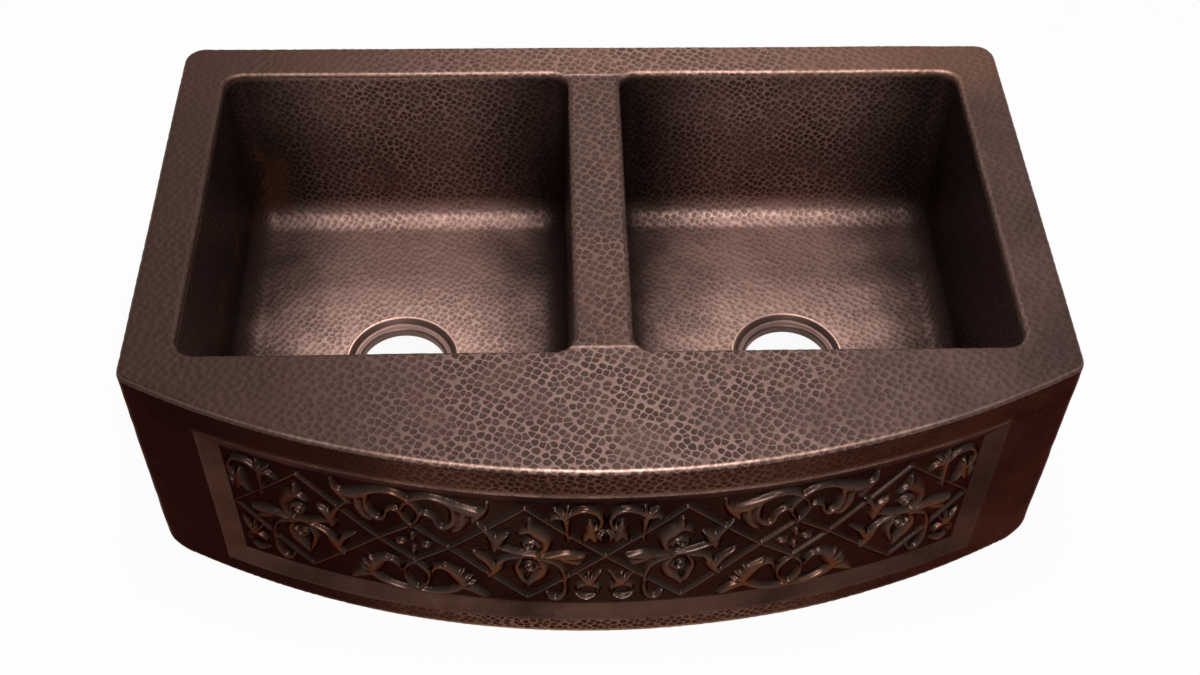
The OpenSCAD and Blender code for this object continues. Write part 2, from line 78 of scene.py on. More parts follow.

# %% [markdown]
# ## From numbers to a mesh
# Every piece starts as an array of points and an array of triangles. Each also carries a flat map: where a
# point was on the sheet before it was bent. The hammer marks are laid out on that map, so they keep their
# size round every bend. A second value says how much hands and cloths have rubbed the patina off, and on the
# rolled edges and raised strokes it also holds a painted highlight. A piece could also be pushed and pulled
# by hand from a cube. Numbers are chosen because the faces come out even and the result is the same each
# time.

# %% Mesh helper
def new_mesh(name, points, tris, flat, wear_and_highlight, struck):
    """A mesh from points and flat map in mm. flat has one row per point, or one per triangle corner.
    The wear value says how far the patina is rubbed off at a point, plus a painted highlight on some edges,
    and struck how hard the hammer hits there."""
    points, tris = np.asarray(points, float), np.asarray(tris, int)
    mesh = bpy.data.meshes.new(name)
    mesh.vertices.add(len(points))
    mesh.vertices.foreach_set("co", (points * 0.001).ravel())
    mesh.loops.add(tris.size)
    mesh.loops.foreach_set("vertex_index", tris.ravel())
    mesh.polygons.add(len(tris))
    mesh.polygons.foreach_set("loop_start", np.arange(0, tris.size, 3))
    mesh.update(calc_edges=True)
    flat = np.asarray(flat, float)
    corner = flat[tris.ravel()] if flat.ndim == 2 else flat.reshape(-1, 2)
    mesh.uv_layers.new(name="flat_map").uv.foreach_set("vector", (corner * 0.001).ravel())
    for key, value in (("wear_and_highlight", wear_and_highlight), ("struck", struck)):
        mesh.attributes.new(key, "FLOAT", "POINT").data.foreach_set("value", np.asarray(value, float))
    mesh.shade_smooth()
    piece = bpy.data.objects.new(name, mesh)
    scene.collection.objects.link(piece)
    return piece


def grid_tris(rows, columns):
    """Triangles over a grid of points, row by row."""
    i = (np.arange(rows - 1)[:, None] * columns + np.arange(columns - 1)).ravel()
    return np.concatenate([np.stack([i, i + 1, i + columns + 1], 1),
                           np.stack([i, i + columns + 1, i + columns], 1)])


def line(a, b, step):
    """Points from a to just before b."""
    a, b = np.array(a, float), np.array(b, float)
    n = max(1, round(float(np.linalg.norm(b - a)) / step))
    return a + (b - a) * np.arange(n)[:, None] / n


def arc(mid, radius, start, end, step):
    """Points on an arc from start to just before end, in degrees."""
    n = max(3, math.ceil(abs(math.radians(end - start)) * radius / step))
    turn = np.radians(start + (end - start) * np.arange(n) / n)
    return np.array(mid) + radius * np.stack([np.cos(turn), np.sin(turn)], 1)


print("triangles over a grid of 3 by 3 points:", len(grid_tris(3, 3)))

# %% [markdown]
# ## Node recipes as sums
# Both the hammering and the copper are node trees. A small class wraps a node's output, so that maths on it
# reads like ordinary maths, and one function adds any other node. The nodes could be placed one by one in
# the editor; written as sums they are shorter, and a reader sees the rule at a glance.

# %% Wires
class Wire:
    """One output of a node. Sums, differences, products and quotients with it add Math nodes."""

    def __init__(self, tree, socket):
        self.tree, self.socket = tree, socket

    def do(self, operation, *others):
        """Any Math node with this value in its first input."""
        return add(self.tree, "ShaderNodeMath", {"operation": operation}, dict(enumerate((self, *others))))[0]

    def flipped(self, operation, other):
        """A Math node with this value in its second input."""
        return add(self.tree, "ShaderNodeMath", {"operation": operation}, {0: other, 1: self})[0]

    def __add__(self, other):
        return self.do("ADD", other)

    def __sub__(self, other):
        return self.do("SUBTRACT", other)

    def __mul__(self, other):
        return self.do("MULTIPLY", other)

    def __truediv__(self, other):
        return self.do("DIVIDE", other)

    def __rsub__(self, other):
        return self.flipped("SUBTRACT", other)

    def __rtruediv__(self, other):
        return self.flipped("DIVIDE", other)

    __radd__, __rmul__ = __add__, __mul__

    def step(self, low, high, to_low=0.0, to_high=1.0):
        """A soft step from to_low to to_high as the value goes from low to high."""
        return add(self.tree, "ShaderNodeMapRange", {"interpolation_type": "SMOOTHSTEP"},
                   {0: self, 1: low, 2: high, 3: to_low, 4: to_high})[0]


def add(tree, kind, settings=None, inputs=None):
    """Adds a node, sets it, plugs its inputs and returns its outputs, by name or number."""
    node = tree.nodes.new(kind)
    for key, value in (settings or {}).items():
        setattr(node, key, value)
    for key, value in (inputs or {}).items():
        if isinstance(value, Wire):
            tree.links.new(value.socket, node.inputs[key])
        else:
            node.inputs[key].default_value = value
    outputs = {i: Wire(tree, s) for i, s in enumerate(node.outputs)}
    outputs.update({s.name: Wire(tree, s) for s in node.outputs if s.enabled})
    return outputs


def vector_math(tree, operation, *values):
    """A Vector Math node. With SCALE, the second value is the factor."""
    keys = (0, "Scale") if operation == "SCALE" else (0, 1, 2)
    return add(tree, "ShaderNodeVectorMath", {"operation": operation}, dict(zip(keys, values)))["Vector"]


def noise(tree, where, scale, detail, roughness=0.5, flat=False):
    """A Noise Texture's outputs: the value is number 0, and the colour is called Color."""
    return add(tree, "ShaderNodeTexNoise", {"noise_dimensions": "2D" if flat else "3D"},
               {"Vector": where, "Scale": scale, "Detail": detail, "Roughness": roughness})


# %% [markdown]
# ## Hammering, bending and the hand
# Three small Geometry Nodes trees do the smith's work. Hammering pushes a shallow round dent into the sheet
# at every cell of a Voronoi pattern, so that ridges are left where dents meet. Bending wraps a flat sheet
# round the bow. The hand moves everything by a slow noise of under a millimetre, the same one for all
# pieces, so that joints stay closed. Dents could be sculpted, or left to a bump in the material, but a bump
# vanishes from the outline and from the exported shape, and thousands of blows are a rule, not handwork.

# %% Geometry Nodes trees
def new_tree(name, numbers):
    """A tree whose inputs are a geometry, the named numbers and a finish."""
    tree = bpy.data.node_groups.new(name, "GeometryNodeTree")
    tree.interface.new_socket("Geometry", in_out="INPUT", socket_type="NodeSocketGeometry")
    for label, value in numbers.items():
        tree.interface.new_socket(label, in_out="INPUT", socket_type="NodeSocketFloat").default_value = value
    tree.interface.new_socket("Finish", in_out="INPUT", socket_type="NodeSocketMaterial")
    tree.interface.new_socket("Geometry", in_out="OUTPUT", socket_type="NodeSocketGeometry")
    return tree, add(tree, "NodeGroupInput")


def close_tree(tree, start, move):
    """Moves the points, by {"Offset": vector} or to {"Position": vector}, and ends the tree."""
    moved = add(tree, "GeometryNodeSetPosition", None, {"Geometry": start["Geometry"], **move})["Geometry"]
    solid = add(tree, "GeometryNodeRealizeInstances", None, {"Geometry": moved})["Geometry"]
    done = add(tree, "GeometryNodeSetMaterial", None, {"Geometry": solid, "Material": start["Finish"]})
    add(tree, "NodeGroupOutput", None, {0: done["Geometry"]})
    return tree


stray, row_angle, unevenness = 0.0030, 0.55, 0.6


def blows(tree, where, size, shift):
    """Distance from the nearest blow's middle and from its edge, in blow sizes, and the blow's own number."""
    wander = noise(tree, where, 95.0, 1.0, flat=True)["Color"]
    drift = vector_math(tree, "MULTIPLY_ADD", wander, (stray, stray, 0), shift)
    place = vector_math(tree, "ADD", where, drift)
    place = add(tree, "ShaderNodeVectorRotate", {"rotation_type": "Z_AXIS"},
                {"Vector": place, "Angle": row_angle})["Vector"]
    pattern = {"Vector": place, "Scale": 1.0 / size, "Randomness": unevenness}
    cell = add(tree, "ShaderNodeTexVoronoi", {"voronoi_dimensions": "2D"}, pattern)
    border = add(tree, "ShaderNodeTexVoronoi",
                 {"voronoi_dimensions": "2D", "feature": "DISTANCE_TO_EDGE"}, pattern)
    luck = add(tree, "ShaderNodeSeparateXYZ", None, {0: cell["Color"]})[0]
    return cell["Distance"], border["Distance"], luck


def dent_rise(near):
    """Height of the hammered surface, 0 in the middle of a dent and about 1 on a ridge."""
    return near.step(0.06, 0.62)


def hammering():
    """Pushes the dents into a sheet. The attribute struck says where the hammer reaches."""
    tree, start = new_tree("Hammering", {"Dent size": 0.0085, "Dent depth": 0.0003, "Seed": 0.0})
    where = add(tree, "GeometryNodeInputNamedAttribute",
                {"data_type": "FLOAT_VECTOR"}, {"Name": "flat_map"})[0]
    share = add(tree, "GeometryNodeInputNamedAttribute", {"data_type": "FLOAT"}, {"Name": "struck"})[0]
    shift = add(tree, "ShaderNodeCombineXYZ", None, {"X": start["Seed"], "Y": start["Seed"] * 0.7})["Vector"]
    near, _, luck = blows(tree, where, start["Dent size"], shift)
    force = noise(tree, where, 26.0, 1.0, flat=True)[0].step(0.3, 0.7, 0.45, 1.2)
    normal = add(tree, "GeometryNodeInputNormal")["Normal"]
    push = (dent_rise(near) - 0.5) * (luck * 0.5 + 0.75) * force * start["Dent depth"] * share
    return close_tree(tree, start, {"Offset": vector_math(tree, "SCALE", normal, push)})


def bending():
    """Wraps a flat sheet, x along the curve and y up, round the bow."""
    tree, start = new_tree("Bending", {"Bow radius": 0.8735, "Bow middle": 0.601})
    where = add(tree, "ShaderNodeSeparateXYZ", None, {0: add(tree, "GeometryNodeInputPosition")[0]})
    turn = where[0] / start["Bow radius"]
    out = start["Bow radius"] + where[2]
    place = add(tree, "ShaderNodeCombineXYZ", None, {
        0: out * turn.do("SINE"), 1: start["Bow middle"] - out * turn.do("COSINE"), 2: where[1]})["Vector"]
    return close_tree(tree, start, {"Position": place})


def the_hand():
    """A slow drift of all points, by which handmade edges are never quite straight."""
    tree, start = new_tree("The hand", {"Sway": 0.0016, "Sway length": 0.16})
    where = add(tree, "GeometryNodeInputPosition")["Position"]
    drift = noise(tree, where, 1.0 / start["Sway length"], 1.5)["Color"]
    middle = vector_math(tree, "SUBTRACT", drift, (0.5, 0.5, 0.5))
    return close_tree(tree, start, {"Offset": vector_math(tree, "SCALE", middle, start["Sway"])})


trees = {"hammer": hammering(), "bend": bending(), "hand": the_hand()}
print("trees:", [t.name for t in trees.values()])


# %% Working a sheet
def set_inputs(modifier, tree, values):
    """Inputs are set by the socket's identifier, because names can repeat."""
    for item in tree.interface.items_tree:
        if item.in_out == "INPUT" and item.name in values:
            modifier[item.identifier] = values[item.name]


def work(piece, finish, blow=None, depth=0.0003, bent=False, thick=sheet):
    """Hammers, bends and thickens a flat piece, and keeps the result as a plain mesh.
    blow is the hammer mark's size in mm and the seed of its places."""
    steps = []
    if blow:
        steps.append(("hammer", {"Dent size": blow[0] * 0.001, "Dent depth": depth, "Seed": blow[1]}))
    if bent:
        steps.append(("bend", {"Bow radius": bow_radius * 0.001, "Bow middle": bow_y * 0.001}))
    if thick:
        steps.append(("wall", {}))
    steps.append(("hand", {}))
    for kind, values in steps:
        if kind == "wall":
            wall = piece.modifiers.new("wall", "SOLIDIFY")
            wall.thickness, wall.offset = thick * 0.001, -1.0
            wall.use_even_offset = False
        else:
            modifier = piece.modifiers.new(kind, "NODES")
            modifier.node_group = trees[kind]
            set_inputs(modifier, trees[kind], {**values, "Finish": finish})
    bpy.context.view_layer.update()
    done = bpy.data.meshes.new_from_object(piece.evaluated_get(bpy.context.evaluated_depsgraph_get()))
    piece.modifiers.clear()
    piece.data = done
    done.name = piece.name
    done.materials.clear()
    done.materials.append(finish)
    done.set_sharp_from_angle(angle=math.radians(50))
    count = len(done.loops) - 2 * len(done.polygons)
    print(f"{piece.name}: {count} triangles")
    return piece


def stands_for(piece, node):
    """The piece rides on the fixed body and takes the place of a solid."""
    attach(piece, "root")
    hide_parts(node)


# %% [markdown]
# ## The finish
# Copper darkens to a brown patina, which the maker brings out with heat and rubs back. It stays dark in the
# dents, and is thinner and pinker on the ridges, and bare copper shows along the rolled edges, where its pale
# colour is also a painted highlight. The recipe layers these: slow clouds of brown, round dark dents in a
# lighter ground, fine specks, a painted shade that darkens a sheet away from its lit middle, then the rubbed
# edges with their painted highlight. The dents use the same blows as the hammering, so that the paint and
# the shape agree. Where a cloth reaches often, the ground is lighter and the dents show more; where it
# doesn't, both go dark together. It could be painted on an image, but a recipe stays sharp at any distance,
# fits every piece and is changed with a number.

# %% Copper recipe
def mix(tree, share, a, b):
    """Colour a where share is 0 and b where it is 1."""
    return add(tree, "ShaderNodeMix", {"data_type": "RGBA"}, {0: share, 6: a, 7: b})[2]


def copper(name, dark, middle, light, blow=None, net=0.6, calm=(), tones=(), ends=None, warm=0.0,
           bare_and_highlight=(0.58, 0.36, 0.29), blush=None, rough=0.5, metal=0.7, tint=(1.0, 0.75, 0.65)):
    """One finish. dark, middle and light are the patina in dents, between them and on ridges.
    blow is the size and seed of the hammering that the dents follow; net says how light their ridges are.
    Each calm = (axis, from, to, first, last) fades the dents along an axis.
    Each of tones = (axis, from, to, first, last, colour) tints a part of the sheet.
    The end shade = (middle, from, to, colour, mirrored) is painted shade: it darkens the sheet to both sides of
    x = middle, away from where the lamps light it most, and lessens the rub there; warm is the share of rust
    beside the dark part. Two shades of rubbed copper come last: a pale one, which on rolled edges and raised
    strokes is also a painted highlight, and blush."""
    material = bpy.data.materials.new(name)
    material.use_nodes = True
    tree = material.node_tree
    tree.nodes.clear()
    flat = add(tree, "ShaderNodeUVMap", {"uv_map": "flat_map"})["UV"]
    place = add(tree, "ShaderNodeTexCoord")["Object"]
    where = add(tree, "ShaderNodeSeparateXYZ", None, {0: place})
    wear_and_highlight = add(tree, "ShaderNodeAttribute", {"attribute_name": "wear_and_highlight"})["Fac"]
    clouds = noise(tree, place, 8.0, 4.0, 0.6)[0]
    grain = noise(tree, place, 420.0, 3.0, 0.65)[0]
    patches = noise(tree, place, 21.0, 3.0)[0]
    colour = mix(tree, clouds.step(0.34, 0.68), (*dark, 1), (*middle, 1))
    height = grain * 0.00006
    roughness = clouds * 0.14 + rough - 0.07
    for axis, low, high, first, last, tone in tones:
        colour = mix(tree, where[axis].step(low, high, first, last), colour, (*tone, 1))
    if blow:
        size, seed = blow
        near, border, luck = blows(tree, flat, size * 0.001, (seed, seed * 0.7, 0.0))
        edge = near + luck * 0.10 - 0.05
        show = patches.step(0.30, 0.62, 0.5, 1.0)
        for axis, low, high, first, last in calm:
            along = where[axis].do("ABSOLUTE") if axis == 0 else where[axis]
            show = show * along.step(low, high, first, last)
        pit = (1.0 - edge.step(0.40, 0.60)) * border.step(0.02, 0.14) * show
        pit = pit * (luck * 0.4 + 0.7).do("MINIMUM", 1.0)
        rim = near.step(0.38, 0.52) * (1.0 - near.step(0.56, 0.74))
        ring = rim.do("MAXIMUM", 1.0 - border.step(0.01, 0.10))
        ground = mix(tree, (ring * 0.6 + 0.4) * show * net, colour, (*light, 1))
        colour = mix(tree, pit, ground, mix(tree, 0.45, (*dark, 1), colour))
        height = height + dent_rise(near) * 0.00016
        roughness = roughness + pit * 0.12
    colour = mix(tree, grain.step(0.55, 0.80) * 0.25, colour, (*light, 1))
    # Painted shade: the colour darkens and the rub fades to either side of a middle line, away from where the
    # lamps light the sheet most.
    if ends:
        middle_x, low, high, tone, mirrored = ends
        across = where[0].do("ABSOLUTE") if mirrored else where[0]
        away = (across - middle_x).do("ABSOLUTE") + patches * 0.06 - 0.03
        colour = mix(tree, away.step(low, high, 0.0, 0.88), colour, (*tone, 1))
        wear_and_highlight = wear_and_highlight * away.step(low, high, 1.0, 0.5)
        if warm:
            rust = away.step(high - 0.045, high - 0.02) * (1.0 - away.step(high - 0.01, high + 0.005))
            rust = rust * (1.0 - where[2].step(-0.13, -0.08)) * where[2].step(-0.195, -0.170)
            rust = rust * (1.0 - where[0].step(-0.31, -0.29))
            colour = mix(tree, rust * warm, colour, (0.13, 0.050, 0.022, 1))
    # The rub is wear, and on rolled edges and raised strokes it is also a painted highlight in a pale copper
    # colour.
    rub_and_highlight = (wear_and_highlight * patches.step(0.28, 0.6, 0.5, 1.0) * grain.step(0.3, 0.6, 0.6, 1.0)).do("MINIMUM", 1.0)
    shine = mix(tree, patches.step(0.44, 0.60), (*bare_and_highlight, 1), (*(blush or bare_and_highlight), 1))
    colour = mix(tree, rub_and_highlight, colour, shine)
    roughness = (roughness - rub_and_highlight * 0.12).do("MAXIMUM", 0.2)
    bumped = add(tree, "ShaderNodeBump", None, {"Strength": 1.0, "Distance": 1.0, "Height": height})["Normal"]
    shader = add(tree, "ShaderNodeBsdfPrincipled", None, {
        "Base Color": colour, "Roughness": roughness, "Metallic": metal, "Normal": bumped, "IOR": 1.45,
        "Specular Tint": (*tint, 1)})["BSDF"]
    add(tree, "ShaderNodeOutputMaterial", None, {"Surface": shader})
    return material


# %% Tones and finishes
hammer_marks = {"deck": (7.2, 0.0), "bowl": (6.4, 1.3), "rail": (6.4, 2.1), "hem": (6.4, 2.6)}
deck_tones = (0.026, 0.0145, 0.012), (0.060, 0.033, 0.027), (0.190, 0.114, 0.097)
divider_tones = (0.026, 0.014, 0.011), (0.055, 0.029, 0.023), (0.150, 0.086, 0.070)
bowl_tones = (0.026, 0.0115, 0.009), (0.072, 0.036, 0.029), (0.300, 0.185, 0.158)
seat_tones = (0.080, 0.046, 0.038), (0.140, 0.084, 0.070), (0.26, 0.17, 0.14)
rail_tones = (0.015, 0.006, 0.0038), (0.040, 0.0165, 0.0105), (0.190, 0.098, 0.070)
stile_tones = (0.017, 0.0092, 0.0066), (0.040, 0.0215, 0.0155), (0.080, 0.042, 0.030)
bevel_tones = (0.018, 0.0088, 0.0062), (0.052, 0.0245, 0.0172), (0.140, 0.085, 0.068)
panel_tones = (0.0105, 0.0064, 0.0052), (0.022, 0.0138, 0.0112), (0.050, 0.026, 0.020)
back_warm = (1, 0.16, 0.24, 0.0, 0.32, (0.250, 0.110, 0.070))
divider_dark = (1, 0.06, 0.20, 0.0, 0.5, (0.030, 0.016, 0.012))
# Painted highlight: the bowls' floors and the lower part of their rounded feet are made lighter where the
# lamps' reflection falls.
floor_painted_highlight = (2, -0.185, -0.165, 0.88, 0.0, (0.42, 0.255, 0.215))
# Painted shade: the deck darkens away from a line a little right of its middle, the bowls towards their side
# walls, and the apron towards its left end, where the lamps light them less.
deck_ends = (0.17, 0.10, 0.58, (0.021, 0.0090, 0.0062), False)
bowl_ends = (0.1995, 0.05, 0.165, (0.0040, 0.0012, 0.0008), True)
front_ends = (0.42, 0.48, 0.80, (0.0070, 0.0031, 0.0022), False)
deck_calm = (0, 0.13, 0.32, 1.0, 0.22)
sides_calm = (0, 0.08, 0.26, 1.0, 0.1)
nose_calm = (2, -0.036, -0.030, 0.0, 1.0)
front_tint = (0.50, 0.36, 0.30)
front = {"metal": 0.97, "tint": front_tint, "ends": front_ends}
finishes = {
    "deck": copper("deck_copper", *deck_tones, blow=hammer_marks["deck"], net=0.75, calm=[deck_calm],
                   ends=deck_ends, tones=[back_warm]),
    "divider": copper("divider_copper", *divider_tones, blow=hammer_marks["deck"], net=0.35,
                      tones=[divider_dark]),
    "bowl": copper("bowl_copper", *bowl_tones, blow=hammer_marks["bowl"], net=0.6, warm=0.4, rough=0.42,
                   metal=0.6, tones=[floor_painted_highlight], ends=bowl_ends, tint=(0.5, 0.34, 0.29)),
    "seat": copper("seat_copper", *seat_tones, rough=0.4),
    "rail": copper("rail_copper", *rail_tones, blow=hammer_marks["rail"], net=0.42,
                   calm=[nose_calm, sides_calm], **front),
    "hem": copper("hem_copper", *rail_tones, blow=hammer_marks["hem"], net=0.8, calm=[sides_calm], **front),
    "stile": copper("stile_copper", *stile_tones, rough=0.42, **{**front, "tint": (0.52, 0.39, 0.33)}),
    "bevel": copper("bevel_copper", *bevel_tones, rough=0.42, metal=0.9, tint=front_tint),
    "panel": copper("panel_copper", *panel_tones, rough=0.30, bare_and_highlight=(0.145, 0.088, 0.072),
                    blush=(0.165, 0.072, 0.044), **front),
}
print("finishes:", sorted(finishes))

# %% [markdown]
# ## The deck
# The deck is five strips that meet at welds near the ends of the divider. Round the outside and round both
# holes the sheet is rolled over with a 5 mm radius; at the back and sides it goes on down as a lip. The
# whole deck is laid out as one plan, filled with evenly spaced points by a constrained triangulation, and
# then shared out to the five strips. So all strips agree along their welds. Five bevelled boxes would be
# quicker, but their hammer marks would stretch round the edges and stop at the welds.

# %% Outline of the deck
step = 1.7
hole_half = ((hole_x[1] - hole_x[0]) / 2, (hole_y[1] - hole_y[0]) / 2)
hole_flat = (hole_half[0] - hole_round, hole_half[1] - hole_round)


def deck_outline(inset):
    """The outer edge, counterclockwise, with points where welds and returns meet it."""
    turn = math.degrees(corner_turn)
    side, top = half_width - inset, back_edge - inset
    ys = [front_corner[1], seam_front, return_back, seam_back, back_edge - back_round]
    right = [line((side, a), (side, b), step) for a, b in zip(ys, ys[1:])]
    left = [line((-side, b), (-side, a), step) for a, b in reversed(list(zip(ys, ys[1:])))]
    bx = half_width - back_round
    return np.concatenate([
        arc((0, bow_y), bow_radius - inset, 270 - turn, 270 + turn, step),
        arc(front_corner, front_round - inset, 270 + turn, 360, step), *right,
        arc((bx, back_edge - back_round), back_round - inset, 0, 90, step),
        line((bx, top), (-bx, top), step),
        arc((-bx, back_edge - back_round), back_round - inset, 90, 180, step), *left,
        arc((-front_corner[0], front_corner[1]), front_round - inset, 180, 270 - turn, step)])


def hole_outline(side, grow):
    """One bowl opening, counterclockwise, with points where the welds meet it."""
    (x0, x1), (y0, y1), r = hole_x, hole_y, hole_round
    a, b, c, d, g = x0 + r, x1 - r, y0 + r, y1 - r, r + grow
    cut = math.degrees(math.asin((seam_back - (y1 - r)) / g))
    low = math.degrees(math.asin(((y0 + r) - seam_front) / g))
    loop = np.concatenate([
        line((a, y0 - grow), (b, y0 - grow), step),
        arc((b, c), g, 270, 360 - low, step),
        arc((b, c), g, 360 - low, 360, step),
        line((x1 + grow, c), (x1 + grow, d), step),
        arc((b, d), g, 0, cut, step),
        arc((b, d), g, cut, 90, step),
        line((b, y1 + grow), (a, y1 + grow), step),
        arc((a, d), g, 90, 180 - cut, step),
        arc((a, d), g, 180 - cut, 180, step),
        line((x0 - grow, d), (x0 - grow, c), step),
        arc((a, c), g, 180, 180 + low, step),
        arc((a, c), g, 180 + low, 270, step)])
    return loop if side > 0 else loop * (-1, 1)


def inside_outline(p, inset):
    """Distance inside the deck's outer edge, negative outside."""
    x, y = np.abs(p[:, 0]), p[:, 1]
    wedge = (bow_y - y) * corner_run / corner_rise > x
    bow = np.where(wedge, bow_radius - np.hypot(x, y - bow_y), 1e3)
    to_corner = np.hypot(x - front_corner[0], y - front_corner[1])
    corner = np.where(~wedge & (y < front_corner[1]), front_round - to_corner, 1e3)
    bx, by = half_width - back_round, back_edge - back_round
    back = np.where((x > bx) & (y > by), back_round - np.hypot(x - bx, y - by), 1e3)
    return np.minimum.reduce([bow, corner, back, half_width - x, back_edge - y]) - inset


def outside_hole(p, grow):
    """Distance outside the nearer bowl opening, negative inside it."""
    qx = np.abs(np.abs(p[:, 0]) - bowl_mid[0]) - hole_flat[0]
    qy = np.abs(p[:, 1] - bowl_mid[1]) - hole_flat[1]
    away = np.hypot(np.maximum(qx, 0), np.maximum(qy, 0))
    return away + np.minimum(np.maximum(qx, qy), 0) - hole_round - grow


print("points round the deck and round a hole:", len(deck_outline(edge_roll)), len(hole_outline(1, edge_roll)))


# %% Fill the plan with points
hex_row = 0.866


def fill(loops, seams, inside, spacing, low, high):
    """Triangulates the area inside the loops, with welds kept as edges."""
    points, edges = [], []
    for loop in loops:
        n, m = len(points), len(loop)
        points += [tuple(p) for p in loop]
        edges += [(n + i, n + (i + 1) % m) for i in range(m)]
    index = {(round(p[0], 4), round(p[1], 4)): i for i, p in enumerate(points)}
    for a, b in seams:
        chain = [index[(round(a[0], 4), round(a[1], 4))]]
        for p in line(a, b, spacing)[1:]:
            points.append(tuple(p))
            chain.append(len(points) - 1)
        chain.append(index[(round(b[0], 4), round(b[1], 4))])
        edges += list(zip(chain, chain[1:]))
    rows = int((high[1] - low[1]) / (spacing * hex_row))
    columns = int((high[0] - low[0]) / spacing)
    i, j = np.meshgrid(np.arange(columns), np.arange(rows))
    hexes = np.stack([low[0] + (i + (j % 2) / 2) * spacing, low[1] + j * spacing * hex_row], -1).reshape(-1, 2)
    keep = inside(hexes) > spacing * 0.55
    for a, b in seams:
        keep &= np.abs(hexes[:, 1] - a[1]) > spacing * 0.5
    points += [tuple(p) for p in hexes[keep]]
    out = delaunay_2d_cdt([Vector(p) for p in points], edges, [], 0, 1e-7)
    plan, tris = np.array([tuple(p) for p in out[0]]), np.array([tuple(f) for f in out[2]])
    middle = plan[tris].mean(1)
    tris = tris[inside(middle) > 0]
    a, b, c = (plan[tris[:, k]] for k in range(3))
    ab, ac = b - a, c - a
    turned = ab[:, 0] * ac[:, 1] - ab[:, 1] * ac[:, 0] < 0
    tris[turned] = tris[turned][:, ::-1]
    return plan, tris


def on_deck(p):
    """Distance inside the flat part of the deck."""
    return np.minimum(inside_outline(p, edge_roll), outside_hole(p, edge_roll))


loops = [deck_outline(edge_roll), hole_outline(1, edge_roll), hole_outline(-1, edge_roll)]
seams = []
for y, past in ((seam_back, seam_back - hole_y[1] + hole_round),
                (seam_front, hole_y[0] + hole_round - seam_front)):
    outer = bowl_mid[0] + hole_flat[0] + math.sqrt((hole_round + edge_roll) ** 2 - past ** 2)
    inner = 2 * bowl_mid[0] - outer
    seams += [((half_width - edge_roll, y), (outer, y)), ((-half_width + edge_roll, y), (-outer, y)),
              ((-inner, y), (inner, y))]
plan, plan_tris = fill(loops, seams, on_deck, step, (-415, -270), (415, 270))
print("points in the deck's plan:", len(plan))

# %% [markdown]
# The rolled edges start at the plan's border. At every border point the way outwards is known, and rows of
# points are laid down a quarter circle there, then straight down where there is a lip. The Bevel modifier
# rolls edges too, but it moves the points of the flat map with them.

# %% Which way is out
def way_out(p):
    """Unit vectors out of the sheet, across the nearest border."""
    x, y = np.abs(p[:, 0]), p[:, 1]
    sign = np.where(p[:, 0] < 0, -1.0, 1.0)
    out = np.zeros_like(p)
    hole = outside_hole(p, edge_roll) < 0.05
    dx, dy = x - bowl_mid[0], y - bowl_mid[1]
    qx = np.maximum(np.abs(dx) - hole_flat[0], 0) * np.sign(dx) * sign
    qy = np.maximum(np.abs(dy) - hole_flat[1], 0) * np.sign(dy)
    q = np.stack([qx, qy], 1)
    out[hole] = -q[hole]
    wedge = (bow_y - y) * corner_run / corner_rise >= x - 1e-6
    wedge &= y < 0
    bow = ~hole & wedge
    out[bow] = (p - (0, bow_y))[bow]
    front = ~hole & ~wedge & (y < front_corner[1])
    out[front] = np.stack([(x - front_corner[0]) * sign, y - front_corner[1]], 1)[front]
    bx, by = half_width - back_round, back_edge - back_round
    back = ~hole & ~wedge & (y >= front_corner[1])
    out[back] = np.stack([np.maximum(x - bx, 0) * sign, np.maximum(y - by, 0)], 1)[back]
    return out / np.linalg.norm(out, axis=1)[:, None]


def border_edges(tris):
    """Edges with a triangle on one side only, the sheet on their left."""
    edges = np.concatenate([tris[:, [0, 1]], tris[:, [1, 2]], tris[:, [2, 0]]])
    owner = np.tile(np.arange(len(tris)), 3)
    code = np.sort(edges, 1)
    code = code[:, 0].astype(np.int64) * (tris.max() + 1) + code[:, 1]
    _, first, count = np.unique(code, return_index=True, return_counts=True)
    once = first[count == 1]
    return edges[once], owner[once]


def strip_of(middle):
    """Number of the deck strip that holds a point."""
    x, y = middle[:, 0], middle[:, 1]
    side = np.where(x < -bowl_mid[0], 1, np.where(x > bowl_mid[0], 2, 3))
    return np.where(y > seam_back, 0, np.where(y < seam_front, 4, side))


print("border edges of the plan:", len(border_edges(plan_tris)[0]))

# %% Roll the edges
strips = ["back_deck", "left_deck", "right_deck", "divider_deck", "front_deck"]
edges, owner = border_edges(plan_tris)
owner_strip = strip_of(plan[plan_tris].mean(1))
border = np.unique(edges)
row_of = np.full(len(plan), -1)
row_of[border] = np.arange(len(border))
out = way_out(plan[border])
in_hole = outside_hole(plan[border], edge_roll) < 0.05
